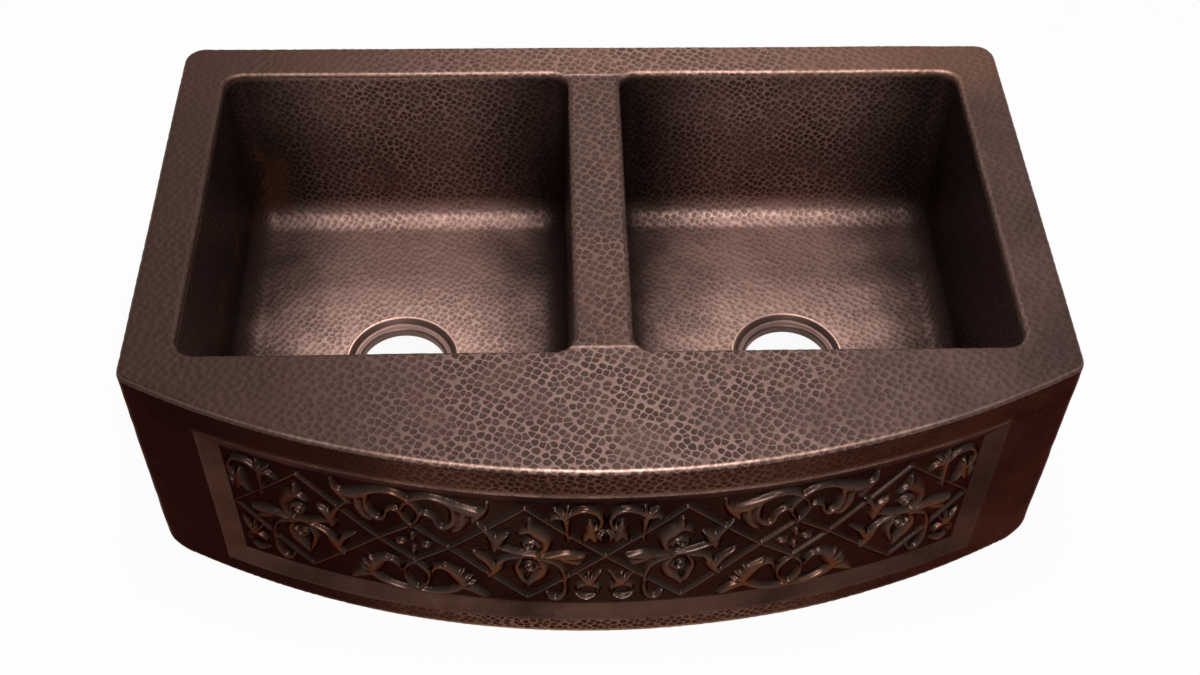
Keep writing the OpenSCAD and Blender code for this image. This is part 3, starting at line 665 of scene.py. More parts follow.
# Painted highlight, partly wear: the rub is strongest on the far rims of the openings and in the middle of the
# nose, and it peaks 40 degrees round the roll, where the front lamp's highlight lies.
edge_rub_and_highlight = np.where(in_hole, 0.08 + 0.82 * np.clip(-out[:, 1] * 2 - 1, 0, 1), 0.12)
nose = ~in_hole & (out[:, 1] < -0.5)
edge_rub_and_highlight = np.where(nose, 0.12 + 0.88 * np.exp(-(plan[border][:, 0] / 230) ** 2), edge_rub_and_highlight)
roll_turns = np.radians(np.linspace(0, 90, 10)[1:])
drops = np.linspace(0, edge_roll - sheet + lip_low, 13)[1:]
base = plan[border]
points = [np.column_stack([plan, np.full(len(plan), sheet)])]
flats, wear_and_highlight_rows = [plan], [np.zeros(len(plan))]
for turn in roll_turns:
    reach, drop = edge_roll * math.sin(turn), edge_roll * (1 - math.cos(turn))
    points.append(np.column_stack([base + out * reach, np.full(len(base), sheet - drop)]))
    flats.append(base + out * edge_roll * turn)
    wear_and_highlight_rows.append(edge_rub_and_highlight * math.exp(-((math.degrees(turn) - 40) / 11) ** 2))
for drop in drops:
    points.append(np.column_stack([base + out * edge_roll, np.full(len(base), sheet - edge_roll + drop)]))
    flats.append(base + out * (edge_roll * math.pi / 2 - drop))
    wear_and_highlight_rows.append(np.zeros(len(base)))
points, flats, wear_and_highlight_rows = np.concatenate(points), np.concatenate(flats), np.concatenate(wear_and_highlight_rows)
tris, strip = [plan_tris], [owner_strip]
rings = [len(plan) + n * len(border) + row_of[edges] for n in range(len(roll_turns) + len(drops))]
is_outer = outside_hole(plan[edges].mean(1), edge_roll) > 0.5
has_lip = is_outer & (plan[edges][:, :, 1].min(1) > return_back - 0.01)
for n, (upper, lower) in enumerate(zip([edges] + rings, rings)):
    use = np.ones(len(edges), bool) if n < len(roll_turns) else has_lip
    (a0, b0), (a1, b1) = upper[use].T, lower[use].T
    tris += [np.stack([b0, a0, a1], 1), np.stack([b0, a1, b1], 1)]
    strip += [owner_strip[owner][use]] * 2
tris, strip = np.concatenate(tris), np.concatenate(strip)
print("rolled deck:", len(points), "points,", len(tris), "triangles")

# %% Weld beads, and the five strips
near_weld = np.minimum(np.abs(points[:, 1] - seam_back), np.abs(points[:, 1] - seam_front))
bead = np.exp(-(near_weld / 1.3) ** 2) * (np.abs(points[:, 0]) < 30) * (points[:, 2] > -1)
points[:, 2] += bead * 0.7
wear_and_highlight_rows = np.maximum(wear_and_highlight_rows, bead * 0.5)

for number, name in enumerate(strips):
    mine = tris[strip == number]
    used, again = np.unique(mine, return_inverse=True)
    piece = new_mesh(name + "_sheet", points[used], again.reshape(mine.shape), flats[used], wear_and_highlight_rows[used],
                     np.ones(len(used)))
    finish = finishes["divider" if name == "divider_deck" else "deck"]
    work(piece, finish, hammer_marks["deck"], depth=0.00034)
    stands_for(piece, name)

# %% [markdown]
# ## The bowls
# Each bowl is a tub with leaning walls, a rounded foot and a floor that falls 3 mm to the drain. It is bent
# from one sheet like a box, so its flat map is a cross: the floor with four walls folded out. The hammer
# marks run over the folds without a break, and only meet at the four upright corners, where the real bowl
# is welded. Only the inside is finely meshed. The outside is a coarse copy, 2 mm away, sewn on at the rim
# and round the drain. A bevelled box under Subdivision Surface comes near, but its faces are uneven and it
# has no flat map, so the tub is laid out in rings.

# %% A tub from rings
wall_top, wall_drop, wall_lean, foot_bend, floor_fall = -3, 172, 4, 25, 3
fold_length = 39.3
floor_inset, floor_level = wall_lean + foot_bend, wall_top - wall_drop - foot_bend


def tub(straight_x, straight_y, turns, walls, folds, spacing, drain_points, grow):
    """Rings of a rounded tub, with its floor. Returns the points, the triangles, the flat map of each triangle
    corner, and the point numbers at the rim and round the drain."""
    half_x, half_y = hole_half
    rows = [(wall_top - wall_drop * t, wall_lean * t, hole_round + (foot_bend - hole_round) * t,
             fold_length + wall_drop * (1 - t)) for t in np.linspace(0, 1, walls + 1)]
    for f in np.radians(np.linspace(0, 90, folds + 1)[1:]):
        inward = 1 - math.cos(f)
        rows.append((wall_top - wall_drop - (foot_bend + grow) * math.sin(f),
                     wall_lean + foot_bend * inward + grow * inward,
                     foot_bend * math.cos(f), fold_length * (1 - f * 2 / math.pi)))
    count = 2 * (straight_x + straight_y) + 4 * turns
    points = np.zeros((len(rows), count, 3))
    sections, place = [], 0
    turn = np.radians(np.linspace(45, 0, turns // 2 + 1))
    four_walls = ((half_x, half_y, straight_x), (half_y, half_x, straight_y)) * 2
    for number, (long, wide, straight) in enumerate(four_walls):
        n = straight + turns
        index = (place + np.arange(n + 1)) % count
        spread = np.zeros((len(rows), n + 1, 2))
        angle = 2 * math.pi - number * math.pi / 2
        co, si = math.cos(angle), math.sin(angle)
        for i, (z, inset, r, up) in enumerate(rows):
            inner, across = long - inset - r, wide - inset - r
            rr = r + grow * (r > 0.01)
            left = np.stack([-inner - rr * np.sin(turn), across + rr * np.cos(turn)], 1)
            middle = np.stack([np.linspace(-inner, inner, straight + 1)[1:-1],
                               np.full(straight - 1, across + rr)], 1)
            local = np.concatenate([left, middle, (left * (-1, 1))[::-1]])
            along = np.concatenate([-inner - r * turn, middle[:, 0], (inner + r * turn)[::-1]])
            points[i, index, 0] = local[:, 0] * co - local[:, 1] * si
            points[i, index, 1] = local[:, 0] * si + local[:, 1] * co
            points[i, index, 2] = z
            out = wide - floor_inset + up
            spread[i, :, 0] = along * co - out * si
            spread[i, :, 1] = along * si + out * co
        sections.append((index, spread))
        place += n
    flat_points = points.reshape(-1, 3).copy()
    tris, flats = [], []
    for index, spread in sections:
        for i in range(len(rows) - 1):
            a, b = i * count + index[:-1], i * count + index[1:]
            c, d = a + count, b + count
            tris += [np.stack([a, b, d], 1), np.stack([a, d, c], 1)]
            s0, s1, s2, s3 = spread[i, :-1], spread[i, 1:], spread[i + 1, 1:], spread[i + 1, :-1]
            flats += [np.stack([s0, s1, s2], 1), np.stack([s0, s2, s3], 1)]
    ring = (len(rows) - 1) * count + np.arange(count)
    loop = flat_points[ring][:, :2]
    clean = [0]
    for k in range(1, count):
        if np.linalg.norm(loop[k] - loop[clean[-1]]) > 1e-6:
            clean.append(k)
    if np.linalg.norm(loop[clean[-1]] - loop[clean[0]]) < 1e-6:
        clean.pop()
    drain = np.array([0, drain_mid[1] - bowl_mid[1]])
    circle = arc(drain, seat_round, 0, 360, 2 * math.pi * seat_round / drain_points)[:drain_points]
    fx, fy = half_x - floor_inset - grow, half_y - floor_inset - grow

    def on_floor(p):
        to_wall = np.minimum(fx - np.abs(p[:, 0]), fy - np.abs(p[:, 1]))
        return np.minimum(to_wall, np.hypot(*(p - drain).T) - seat_round)

    floor, floor_tris = fill([loop[clean], circle], [], on_floor, spacing, (-fx, -fy), (fx, fy))
    to_edge = np.maximum(np.minimum(fx - np.abs(floor[:, 0]), fy - np.abs(floor[:, 1])), 0)
    to_drain = np.maximum(np.hypot(*(floor - drain).T) - seat_round, 0)
    z = floor_level - grow - floor_fall * to_edge / (to_edge + to_drain + 1e-9)
    start = len(flat_points)
    flat_points = np.concatenate([flat_points, np.column_stack([floor, z])])
    tris.append(floor_tris + start)
    flats.append(floor[floor_tris])
    tris, flats = np.concatenate(tris), np.concatenate(flats)
    key = np.round(flat_points, 4)
    _, first, same = np.unique(key, axis=0, return_index=True, return_inverse=True)
    same = first[same.ravel()]
    tris = same[tris]
    keep = (tris[:, 0] != tris[:, 1]) & (tris[:, 1] != tris[:, 2]) & (tris[:, 0] != tris[:, 2])
    rim = same[np.arange(count)]
    drain_ring = same[start + len(clean) + np.arange(drain_points)]
    return flat_points, tris[keep], flats[keep], rim, drain_ring


def sew(fine, coarse):
    """Triangles between a fine ring and a coarse one with a quarter of its points."""
    out, n = [], len(coarse)
    for j in range(n):
        f = [fine[(4 * j + k) % len(fine)] for k in range(5)]
        p, q = coarse[j], coarse[(j + 1) % n]
        out += [(f[0], p, f[1]), (f[1], p, f[2]), (p, q, f[2]), (f[2], q, f[3]), (f[3], q, f[4])]
    return np.array(out)


# %% Both bowls
inner = tub(straight_x=120, straight_y=132, turns=24, walls=76, folds=18, spacing=2.3, drain_points=160,
            grow=0.0)
outer = tub(straight_x=30, straight_y=33, turns=6, walls=12, folds=5, spacing=10.0, drain_points=40,
            grow=sheet)
shift = len(inner[0])
bowl_points = np.concatenate([inner[0], outer[0]])
rim_tris = sew(inner[3], outer[3] + shift)
drain_tris = sew(inner[4], outer[4] + shift)
bowl_tris = np.concatenate([inner[1], outer[1][:, ::-1] + shift, rim_tris, drain_tris])
bowl_flat = np.concatenate([inner[2], outer[2][:, ::-1], bowl_points[rim_tris][:, :, :2],
                            bowl_points[drain_tris][:, :, :2]])
left_sheet = (777, 0)
struck = np.concatenate([np.ones(len(inner[0])), np.zeros(len(outer[0]))])
print("bowl:", len(bowl_tris), "triangles before sewing")


def tidy_mesh(piece):
    """Drops loose points and makes all faces of a shell point the same way."""
    bm = bmesh.new()
    bm.from_mesh(piece.data)
    bmesh.ops.delete(bm, geom=[v for v in bm.verts if not v.link_faces], context="VERTS")
    bmesh.ops.recalc_face_normals(bm, faces=bm.faces)
    open_edges = sum(1 for e in bm.edges if not e.is_manifold)
    bm.to_mesh(piece.data)
    bm.free()
    print(f"{piece.name}: {open_edges} open edges")


for name, side in (("right_bowl", 1), ("left_bowl", -1)):
    placed = (bowl_points + (bowl_mid[0], bowl_mid[1], 0)) * (side, 1, 1)
    wear_and_highlight = np.exp(-((placed[:, 2] + 3) / 2.5) ** 2) * 0.3 * struck
    flat = bowl_flat if side > 0 else (bowl_flat * (-1, 1) + left_sheet)[:, ::-1]
    piece = new_mesh(name + "_tub", placed, bowl_tris if side > 0 else bowl_tris[:, ::-1], flat, wear_and_highlight, struck)
    tidy_mesh(piece)
    work(piece, finishes["bowl"], hammer_marks["bowl"], depth=0.00036, thick=None)
    stands_for(piece, name)

# %% [markdown]
# ## Drain seats
# A smooth ring is welded into each floor: a rubbed outer edge, a slope, a flat seat for the strainer and a
# collar. It is turned on a lathe or pressed, so a profile spun round the drain's axis makes it, with small
# rounds at its corners. The Screw modifier would spin it as well; with numbers the rubbed edge is written
# down along the same profile.

# %% Spin the drain seats
def rounded(profile, size, steps=4):
    """Rounds the corners of a closed profile by cutting each back and laying a curve across."""
    out, n = [], len(profile)
    for i in range(n):
        a, p, b = (np.array(profile[(i + k) % n], float) for k in (-1, 0, 1))
        to_a, to_b = np.linalg.norm(a - p), np.linalg.norm(b - p)
        start = p + (a - p) / to_a * min(size, to_a * 0.45)
        end = p + (b - p) / to_b * min(size, to_b * 0.45)
        for t in np.linspace(0, 1, steps + 1):
            out.append((1 - t) ** 2 * start + 2 * t * (1 - t) * p + t * t * end)
    return np.array(out)


seat = sump - 6.0
profile = rounded([(58, sump + 0.5), (55.5, sump + 0.2), (51.8, seat + 0.3), (49.5, seat), (46, seat),
                   (44.5, seat - 1.5), (drain_hole, seat - 10), (46.45, seat - 10), (46.45, seat - 2),
                   (50.2, seat - 2), (55.2, sump - 2), (58, sump - 2)], 0.8)
spins = 144
turns = np.radians(np.arange(spins) * 360 / spins)
ring = np.stack([np.column_stack([profile[:, 0] * math.cos(t), profile[:, 0] * math.sin(t), profile[:, 1]])
                 for t in turns])
n = len(profile)
i, j = np.meshgrid(np.arange(spins), np.arange(n), indexing="ij")
p00, p01 = i * n + j, i * n + (j + 1) % n
p10, p11 = ((i + 1) % spins) * n + j, ((i + 1) % spins) * n + (j + 1) % n
ring_tris = np.concatenate([np.stack(three, -1).reshape(-1, 3) for three in ((p00, p10, p11), (p00, p11, p01))])
for name, side in (("right_drain_ring", 1), ("left_drain_ring", -1)):
    placed = (ring.reshape(-1, 3) + (drain_mid[0], drain_mid[1], 0)) * (side, 1, 1)
    r = np.tile(profile[:, 0], spins)
    top = np.tile(profile[:, 1], spins)
    wear_and_highlight = np.exp(-((r - 57) / 1.6) ** 2) * (top > sump - 1) + 0.12 * np.exp(-((r - 50.5) / 1.2) ** 2)
    piece = new_mesh(name + "_seat", placed, ring_tris, placed[:, :2], wear_and_highlight, np.zeros(len(r)))
    tidy_mesh(piece)
    work(piece, finishes["seat"], thick=None)
    stands_for(piece, name)

# %% [markdown]
# ## The apron's frame
# The front is one bowed face with a sunk panel. Every band of it is made flat, u along the curve and z up,
# and gets its depth behind the face from one rule: 0 outside the frame, a slope of 18 mm, then 8 mm deep.
# The rule is slightly rounded at its corners, so neighbouring pieces share the same soft edge. Then the
# bending tree wraps it round the bow. The bands could be cut from one bowed sheet, but the real ones are
# separate sheets with welds between them, and flat ones are easier to measure.

# %% Depth rule and flat bands
weld_fade = 8.0


def soft_ramp(x, c):
    """0 below 0 and x above it, with a corner rounded over about c."""
    return 0.5 * (x + np.sqrt(x * x + 4 * c * c))


def frame_depth(u, z):
    """Depth behind the apron's face in mm."""
    across, up = frame_u - np.abs(u), np.minimum(frame_top - z, z - frame_low)
    inside = -soft_ramp(up - across, 0.9) + up
    return recess * (soft_ramp(inside, 0.7) - soft_ramp(inside - bevel, 0.7)) / bevel


def near_weld_fades(u):
    """Share of the hammering at u, which fades out before the upright welds."""
    return np.clip((weld_u - np.abs(u)) / weld_fade, 0, 1)


def band(name, u, z, finish, blow, depth=0.0003, rub=0.06, soft=1.6):
    """A flat band from grids of u and z, bent round the bow. rub is the wear along the frame's edge."""
    points = np.stack([u, z, -frame_depth(u, z)], -1).reshape(-1, 3)
    edge = np.exp(-((frame_u - np.abs(u)) / soft) ** 2) * (z < frame_top + 1) * (z > frame_low - 1)
    edge = np.maximum(edge, np.exp(-((frame_top - z) / soft) ** 2) * (np.abs(u) < frame_u + 1))
    edge = np.maximum(edge, np.exp(-((z - frame_low) / soft) ** 2) * (np.abs(u) < frame_u + 1))
    edge *= rub * (0.3 + 0.7 * np.exp(-(u / 230) ** 2))
    piece = new_mesh(name + "_band", points, grid_tris(*u.shape), points[:, :2], edge.ravel(),
                     near_weld_fades(u).ravel())
    work(piece, finishes[finish], blow, depth=depth, bent=True)
    stands_for(piece, name)


def span(a, b, step):
    """Even points from a to b, about a step apart."""
    return np.linspace(a, b, max(2, round(abs(b - a) / step) + 1))


u, z = np.meshgrid(span(-weld_u, weld_u, 1.7), span(frame_top, sheet - edge_roll, 1.6))
band("apron_top_rail", u, z, "rail", hammer_marks["rail"], rub=0.4, soft=4.0)
for name, side in (("apron_right_stile", 1), ("apron_left_stile", -1)):
    u, z = np.meshgrid(span(frame_u, weld_u, 1.8) * side, span(frame_low, frame_top, 1.8))
    if side < 0:
        u = u[:, ::-1]
    band(name, u, z, "stile", (34.0, 3.0 + side), depth=0.0004)
for name, side in (("bevel_top", 1), ("bevel_bottom", -1)):
    s, t = np.meshgrid(np.linspace(-1, 1, 421), np.linspace(1, 0, 13))
    u = s * (frame_u - t * bevel)
    z = frame_top - t * bevel if side > 0 else frame_low + t * bevel
    if side < 0:
        u, z = u[::-1], z[::-1]
    band(name, u, z, "bevel", (26.0, 4.0 + side))
for name, side in (("bevel_right", 1), ("bevel_left", -1)):
    t, s = np.meshgrid(np.linspace(1, 0, 13), np.linspace(-1, 1, 121))
    u = side * (frame_u - t * bevel)
    z = (frame_top + frame_low) / 2 + s * ((frame_top - frame_low) / 2 - t * bevel)
    if side < 0:
        u, z = u[:, ::-1], z[:, ::-1]
    band(name, u, z, "bevel", (26.0, 6.0 + side))

# %% [markdown]
# The bottom band ends in a tight bend and a hem turned 14 mm under. It is still one flat rule: the distance
# down the sheet becomes a height and a relief. It stops before the rounded feet, which belong to the side
# returns. A hem added as a strip of its own would leave a seam where the real sheet is bent.

# %% Bottom band with its hem
hem_round = 1.2
down, bend = frame_low - foot - hem_round, hem_round * math.pi / 2
s = np.concatenate([span(0, down, 1.6), down + span(0, bend, 0.5)[1:],
                    down + bend + span(0, hem - hem_round, 1.8)[1:]])
turn = np.clip((s - down) / hem_round, 0, math.pi / 2)
past = np.maximum(s - down - bend, 0)
z_line = frame_low - np.minimum(s, down) - hem_round * np.sin(turn)
depth_line = hem_round * (1 - np.cos(turn)) + past
u, k = np.meshgrid(span(-weld_u, weld_u, 1.7), np.arange(len(s)))
z = z_line[k]
lift = -depth_line[k] - frame_depth(u, np.minimum(z, frame_low))
points = np.stack([u, z, lift], -1)[::-1].reshape(-1, 3)
flats = np.stack([u, frame_low - s[k]], -1)[::-1].reshape(-1, 2)
wear_and_highlight = (np.exp(-((s[k] - down) / 2.2) ** 2) * (0.1 + 0.5 * np.exp(-(u / 200) ** 2)))[::-1].ravel()
struck = near_weld_fades(u)[::-1].ravel()
piece = new_mesh("apron_bottom_rail_band", points, grid_tris(*u.shape), flats, wear_and_highlight, struck)
work(piece, finishes["hem"], hammer_marks["hem"], bent=True)
stands_for(piece, "apron_bottom_rail")

# %% [markdown]
# ## The side returns
# At each front corner the apron is bent back through a tight curve and runs 50 mm along the side. Its lower
# corner is rounded and the sheet is turned under it, so the piece is a wall with a rounded foot. Both are
# grids that share one line of points. A bevelled box would do for the wall, but not for the foot, whose
# turned edge follows the bow.

# %% Side returns
def return_points():
    """Path of the wall in plan, from the weld round the corner to the back of the return."""
    bow = np.linspace(weld_u, corner_u, 13)[:-1] / bow_radius
    a = np.stack([bow_radius * np.sin(bow), bow_y - bow_radius * np.cos(bow)], 1)
    turn = np.linspace(corner_turn, math.pi / 2, 15)[:-1]
    b = np.stack([front_corner[0] + front_round * np.sin(turn),
                  front_corner[1] - front_round * np.cos(turn)], 1)
    c = np.stack([np.full(29, half_width), np.linspace(front_corner[1], return_back, 29)], 1)
    return np.concatenate([a, b, c]), len(a) + len(b)


path, corner_end = return_points()
length = np.concatenate([[0], np.cumsum(np.linalg.norm(np.diff(path, axis=0), axis=1))])
over = np.clip(path[:, 0] - (half_width - foot_round), 0, foot_round)
low = foot + foot_round - np.sqrt(foot_round ** 2 - over ** 2)
low[corner_end:] = foot + foot_round
rows = 110
t = np.linspace(0, 1, rows)[:, None]
z = low + (sheet - edge_roll - low) * t
wall = np.stack([np.broadcast_to(path[:, 0], z.shape), np.broadcast_to(path[:, 1], z.shape), z], -1)
wall_flat = np.stack([np.broadcast_to(weld_u + length, z.shape), z], -1)
columns = len(path)
back_steps = columns - corner_end
fronts = path[: corner_end + 1]
under_x = np.linspace(half_width - foot_round - 6, fronts[0, 0], 9)[:-1]
weld_turn = weld_u / bow_radius
under = np.stack([under_x, bow_y - under_x / math.tan(weld_turn)], 1)
starts = np.concatenate([under, fronts])
share = np.linspace(0, 1, back_steps)
foot_y = starts[:, 1][:, None] + (return_back - starts[:, 1])[:, None] * share
foot_over = np.clip(starts[:, 0] - (half_width - foot_round), 0, foot_round)
foot_z = foot + foot_round - np.sqrt(foot_round ** 2 - foot_over ** 2)
foot_grid = np.stack([np.broadcast_to(starts[:, 0][:, None], foot_y.shape), foot_y,
                      np.broadcast_to(foot_z[:, None], foot_y.shape)], -1)
all_points = np.concatenate([wall.reshape(-1, 3), foot_grid.reshape(-1, 3)])
all_flat = np.concatenate([wall_flat.reshape(-1, 2), foot_grid[:, :, :2].reshape(-1, 2)])
wall_tris = grid_tris(rows, columns)
foot_tris = grid_tris(len(starts), back_steps)[:, ::-1] + rows * columns
all_tris = np.concatenate([wall_tris, foot_tris])
_, first, same = np.unique(np.round(all_points, 3), axis=0, return_index=True, return_inverse=True)
all_tris = first[same.ravel()][all_tris]
low_edge = np.interp(all_points[:, 0], path[:corner_end, 0], low[:corner_end])
wear_and_highlight = np.exp(-((all_points[:, 2] - low_edge) / 2.0) ** 2) * 0.5
struck = np.clip((all_flat[:, 0] - weld_u) / weld_fade, 0, 1)
for name, side in (("right_side_return", 1), ("left_side_return", -1)):
    piece = new_mesh(name + "_wall", all_points * (side, 1, 1), all_tris if side > 0 else all_tris[:, ::-1],
                     all_flat * (side, 1), wear_and_highlight, struck)
    tidy_mesh(piece)
    work(piece, finishes["stile"], (30.0, 8.0 + side), depth=0.0004)
    stands_for(piece, name)

# %% [markdown]
# ## The embossed panel
# The ornament is chased into the sheet from both sides: a trellis of rounded bars, and over it scrolls,
# leaves and palmettes. Each stroke is a short list of joints: distance along the curve from the middle,
# height from the middle line, and half width. A smooth curve runs through the joints, and the sheet is
# raised under it. One half repeat is drawn, and mirrored about the small diamond and about the middle, as
# the real pattern is. It could be sculpted, or raised from a drawn picture, but a stroke with a few joints
# stays sharp, is mirrored without a fault and is easily moved.

# %% Strokes of one half repeat
repeat, trellis_h, small_h, bar_half = 345.0, 71.0, 28.0, 2.7
panel_mid = -134.0


def curl(mid, r0, r1, a0, a1, w0, w1, n):
    """Joints of a spiral round mid. Radius, angle and half width go evenly from first to last."""
    return [[mid[0] + (r0 + (r1 - r0) * i / n) * math.cos(math.radians(a0 + (a1 - a0) * i / n)),
             mid[1] + (r0 + (r1 - r0) * i / n) * math.sin(math.radians(a0 + (a1 - a0) * i / n)),
             w0 + (w1 - w0) * i / n] for i in range(n + 1)]


upper_scroll = [
    [[33, 26, 1.6], [34, 45, 2], [35, 58, 3.6], [39, 66, 2.8], [45, 72, 0.8]],
    [[35, 60, 3], [34, 69, 2], [33, 76, 0.8]], [[36, 60, 2.4], [44, 62, 2.4], [50, 55, 0.8]],
    [[34, 62, 2], [27, 69, 2.2], [18, 72, 2.6], [9, 68, 2.6], [4, 57, 2.2], [6, 46, 2], [12, 43, 2]],
    [[14, 54, 1.4], [13, 43, 5], [12, 34, 4.6], [8, 23, 0.8]], [[15, 36, 4], [20, 24, 0.8]],
    [[1.5, 38, 1], [5, 34, 2.4], [3, 21, 0.8]]]
lower_scroll = [
    [[7, -61, 0.9], [6, -51, 1.6], [11, -45, 2.2], [18, -44, 2], [24, -49, 1.6], [24, -56, 0.9]],
    [[13, -44, 4], [9, -34, 2.2], [4, -25, 0.8]], [[14, -43, 3.4], [15, -28, 0.8]],
    [[15, -43, 3], [20, -35, 2.2], [25, -27, 0.8]], [[8, -65, 0.8], [17, -68, 2], [26, -64, 0.8]]]
palmette = [
    [[61, 0, 1.8], [54, 11, 3], [53, 24, 5], [60, 34, 7], [66, 43, 4], [67, 55, 0.8]],
    [[64, 38, 4.6], [71, 39, 3], [77, 33, 0.8]], curl((67, 17), 8, 2.5, 190, -160, 2, 1.6, 6),
    [[58, -1, 1], [46, 0, 3.6], [34, 0, 6.4], [25, 0, 4.4], [18, 2, 0.9]],
    [[38, -4, 3.4], [29, -8, 3], [22, -11, 0.8]],
    [[62, 1, 2.8], [75, 3, 2.8], [87, 8, 2.2], [96, 12, 1.8]],
    [[99, 3, 1], [97, 15, 5.8], [92, 25, 4], [86, 31, 0.8]],
    [[98, 18, 4.8], [104, 31, 2.6], [113, 43, 0.8]],
    [[63, -2, 2.2], [50, -7, 2], [41, -16, 1.8], [37, -30, 2], [36, -46, 2], [37, -60, 2.6], [42, -69, 3.2],
     [49, -68, 2.6], [53, -60, 1]],
    [[72, -1, 1.8], [86, -5, 1.8], [96, -14, 1.8], [105, -38, 1.6]],
    [[104, -38, 1], [97, -24, 4.8], [93, -13, 3], [88, -5, 0.8]],
    [[101, -25, 3.4], [107, -12, 3.4], [118, -1, 0.8]],
    [[60, -5, 1.6], [55, -18, 3.6], [59, -31, 5.8], [66, -40, 3.6], [71, -51, 0.8]],
    [[75, -6, 1.4], [79, -19, 2.6], [76, -33, 3], [71, -47, 0.8]],
    curl((67, -17), 7, 2.5, 170, 470, 1.8, 1.5, 5)]
side_scrolls = [
    [[103, 77, 0.8], [105, 67, 2.2], [112, 57, 5.2], [118, 45, 0.9]],
    [[110, 61, 3.6], [121, 60, 6.6], [131, 65, 5.2], [140, 71, 3.4], [150, 75, 2.8], [161, 74, 2.6],
     [171, 67, 2.2], [179, 55, 1.8], [180, 43, 1.8], [172, 27, 1.4]],
    [[135, 67, 3], [133, 54, 2.8], [135, 40, 3.2], [143, 32, 3], [149, 36, 2.2], [152, 46, 2],
     [159, 51, 1.8], [163, 45, 1]],
    [[125, 57, 2.4], [126, 45, 5.2], [130, 34, 3.6], [137, 27, 0.8]],
    [[173, -29, 1.4], [164, -38, 1.8], [161, -50, 1.8], [164, -63, 2], [173, -73, 2]],
    [[173, -75, 2.2], [160, -76, 2.6], [147, -73, 3], [135, -66, 4], [129, -56, 6], [134, -44, 7.4],
     [141, -34, 4.6], [146, -27, 0.9]],
    [[141, -36, 2.6], [150, -31, 2.4], [156, -38, 2], [157, -48, 1]],
    [[134, -44, 4.4], [128, -34, 0.8]], [[131, -50, 4.4], [121, -43, 0.8]],
    [[129, -56, 4.4], [118, -52, 0.8]],
    [[128, -61, 4.6], [118, -66, 4.4], [107, -74, 0.8]], [[157, 0, 1], [161, 0, 3], [165, 0, 1]],
    [[172.5, 15, 0.8], [172.5, 10, 2.4], [172.5, 5, 0.8]],
    [[172.5, -15, 0.8], [172.5, -10, 2.4], [172.5, -5, 0.8]]]
bars = [[[0, 0], [70.5, t * trellis_h], [140, 0], [repeat / 2, -t * small_h]] for t in (1, -1)]
print("strokes in a half repeat:", sum(len(x) for x in (upper_scroll, lower_scroll, palmette, side_scrolls)))

# %% [markdown]
# The relief is a height over every point of a fine grid, 1.1 mm apart. For each short piece of a stroke,
# the points near it get a rounded height that depends on how far they are from its middle line. The highest
# stroke wins, and a light blur gives the soft foot that a hammered relief has. A round-bevelled curve for
# each stroke would be the common way, but it leaves hundreds of shells that cut into each other, and the
# real panel is one sheet.

# %% Raise the relief
grid_u = span(-frame_u + bevel, frame_u - bevel, 1.12)
grid_z = span(frame_low + bevel, frame_top - bevel, 1.12)
flat_u, flat_z = np.meshgrid(grid_u, grid_z)
relief = np.zeros(flat_u.shape)
rub_and_highlight = np.zeros(flat_u.shape)


def smooth_path(joints, steps=5):
    """A curve through the joints, with their widths."""
    p = np.array(joints, float)
    p = np.concatenate([[2 * p[0] - p[1]], p, [2 * p[-1] - p[-2]]])
    out = []
    for k in range(1, len(p) - 2):
        for t in np.arange(steps) / steps:
            out.append(0.5 * ((2 * p[k]) + (p[k + 1] - p[k - 1]) * t
                              + (2 * p[k - 1] - 5 * p[k] + 4 * p[k + 1] - p[k + 2]) * t ** 2
                              + (3 * p[k] - p[k - 1] - 3 * p[k + 1] + p[k + 2]) * t ** 3))
    out.append(p[-2])
    return np.array(out)


def raise_stroke(path, tall, vein=False):
    """Raises the sheet under a path of (u, height, half width)."""
    for p, q in zip(path, path[1:]):
        reach = max(p[2], q[2]) + 1.5
        lo, hi = np.minimum(p[:2], q[:2]) - reach, np.maximum(p[:2], q[:2]) + reach
        i0, i1 = np.searchsorted(grid_u, [lo[0], hi[0]])
        j0, j1 = np.searchsorted(grid_z, [lo[1] + panel_mid, hi[1] + panel_mid])
        if i0 >= i1 or j0 >= j1:
            continue
        du, dz = flat_u[j0:j1, i0:i1] - p[0], flat_z[j0:j1, i0:i1] - panel_mid - p[1]
        way = q[:2] - p[:2]
        t = np.clip((du * way[0] + dz * way[1]) / max(way @ way, 1e-9), 0, 1)
        d = np.hypot(du - t * way[0], dz - t * way[1])
        w = np.maximum(p[2] + t * (q[2] - p[2]), 0.5) * (1.22 if vein else 0.9) + 0.4
        h = tall * np.minimum(1, 0.45 + w / 4.5) * np.maximum(1 - (d / w) ** 2, 0) ** (0.8 if vein else 1.3)
        if vein:
            h = h - 0.45 * np.clip((w - 4) / 2, 0, 1) * np.exp(-(d / 0.9) ** 2) * (h > 0)
        relief[j0:j1, i0:i1] = np.maximum(relief[j0:j1, i0:i1], h)
        # Painted highlight, partly wear of the high points: lit lightens each leaf's body and a thin line along
        # each bar's crest.
        lit = 0.26 * np.clip(1.15 - d / w, 0, 0.6) / 0.6 if vein else 0.6 * np.exp(-(d / 0.75) ** 2)
        rub_and_highlight[j0:j1, i0:i1] = np.maximum(rub_and_highlight[j0:j1, i0:i1], lit)


def copies(path):
    """The four mirrored places of a stroke."""
    for side in (1, -1):
        for across in (False, True):
            p = np.array(path, float)
            if across:
                p[:, 0] = repeat - p[:, 0]
            p[:, 0] *= side
            yield p


